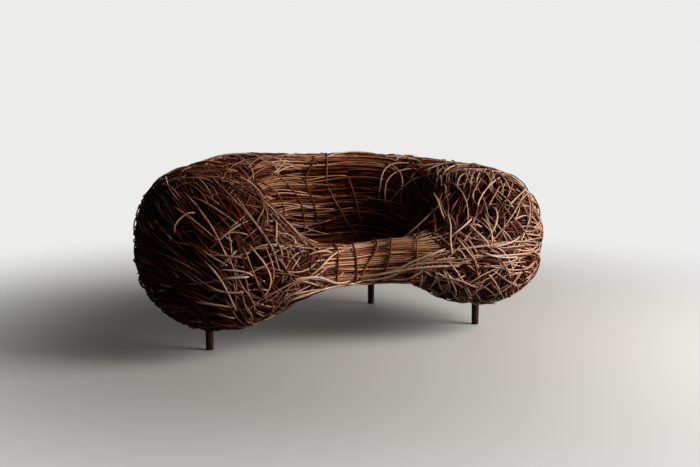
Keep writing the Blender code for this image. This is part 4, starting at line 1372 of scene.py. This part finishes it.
# %% Single canes
SINGLE_POINTS = 13
EASE_DEGREE = 4
SINGLE_RADII = (0.0026, 0.0034)
SHADED_FROM, SHADED_TO, SHADED_LOSS = -128, -60, 0.25
middle_stems = (roll_sweeps + roll_fan + sprung_stems + left_stems + right_stems + roll_side_stems
                + rim_stems)
GROUPS = (
    # stems, shade from, to, extra radius
    (middle_stems, 0.6, 1.1, 0.0),
    (pale_stems, 1.0, 1.2, 0.0007),
    # low shades for the rim sheaf: painted shade on the top of the back
    (rim_sheaf, 0.25, 0.6, 0.0),
)
every_stem = middle_stems + pale_stems + rim_sheaf
share = np.linspace(-1, 1, SINGLE_POINTS)
lines, ups = [], []
for points in every_stem:
    marks = strand(points, SINGLE_POINTS)
    angle, turn, height = np.radians(marks[:, 0]), np.radians(marks[:, 1]), marks[:, 2] / 1000
    up = normal(angle, turn)
    eased = [np.polyval(np.polyfit(share, axis, EASE_DEGREE), share) for axis in wall(angle, turn).T]
    lines.append(np.stack(eased, axis=-1) + up * height[:, None])
    ups.append(up)
tones = np.concatenate([rng.uniform(low, high, len(group)) for group, low, high, _ in GROUPS])
# painted shade on the stems of the left lobe
tones = tones - SHADED_LOSS * np.array([SHADED_FROM < points[1][0] < SHADED_TO for points in every_stem])
stout = np.concatenate([np.full(len(group), extra) for group, _, _, extra in GROUPS])
radii = stout + rng.uniform(*SINGLE_RADII, len(lines))
singles = swept(np.array(lines), np.array(ups), radii, tones)
single_canes = stems("single_canes", [singles], tangle_look)

# %% [markdown]
# ## Legs
# Four turned legs of dark wood, slimmer at the foot. A lathe profile could be spun, but a leg this plain is
# quicker from a cylinder: its lower ring is drawn in, it is stretched to the height of the CAD leg, and the
# edge of its foot is rounded.

# %% Legs
LEG_RADIUS = 0.016
FOOT_SHARE = 0.875
FOOT_ROUND = 0.0025
for place in ("front_left", "front_right", "rear_left", "rear_right"):
    low, high = np.array(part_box(f"leg_{place}"))
    middle = (low + high) / 2
    bpy.ops.object.select_all(action="DESELECT")
    bpy.ops.mesh.primitive_cylinder_add(vertices=40, radius=LEG_RADIUS, depth=1.0)
    leg = bpy.context.object
    leg.name = f"leg_{place}_turned"
    bpy.ops.object.mode_set(mode="EDIT")
    bpy.ops.mesh.select_mode(type="VERT")
    bpy.ops.mesh.select_all(action="DESELECT")
    bpy.ops.object.mode_set(mode="OBJECT")
    for vertex in leg.data.vertices:
        vertex.select = vertex.co.z < 0
    bpy.ops.object.mode_set(mode="EDIT")
    bpy.ops.transform.resize(value=(FOOT_SHARE, FOOT_SHARE, 1.0))
    bpy.ops.mesh.select_all(action="SELECT")
    bpy.ops.transform.resize(value=(1, 1, float(high[2] - low[2])))
    bpy.ops.object.mode_set(mode="OBJECT")
    for edge in leg.data.edges:
        edge.select = all(leg.data.vertices[v].co.z < 0 for v in edge.vertices)
    bpy.ops.object.mode_set(mode="EDIT")
    bpy.ops.mesh.select_mode(type="EDGE")
    bpy.ops.mesh.bevel(offset=FOOT_ROUND, segments=3)
    bpy.ops.mesh.select_all(action="SELECT")
    bpy.ops.transform.translate(value=(float(middle[0]), float(middle[1]), float(middle[2])))
    bpy.ops.object.mode_set(mode="OBJECT")
    bpy.ops.object.shade_smooth_by_angle(angle=math.radians(40))
    leg.data.materials.append(leg_look)
    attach(leg, "root")
    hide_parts(f"leg_{place}")
    print(leg.name, "faces:", len(leg.data.polygons))

# %% [markdown]
# ## The hidden frame
# Hoops, poles, rails, bearers and pegs carry the nest and can only be glimpsed through it. They could be
# made anew, but a round pole would gain nothing by it, so only their looks are set here.

# %% Frame looks
dressed = 0
for name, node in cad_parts.items():
    if node.type != "MESH":
        continue
    if name.startswith("dowel"):
        look = peg_look
    elif name.startswith(("hoop", "seat_rail", "seat_bearer")) or name.endswith("_pole"):
        look = pole_look
    else:
        continue
    node.data.materials.clear()
    node.data.materials.append(look)
    dressed += 1
print("frame pieces with a look:", dressed)
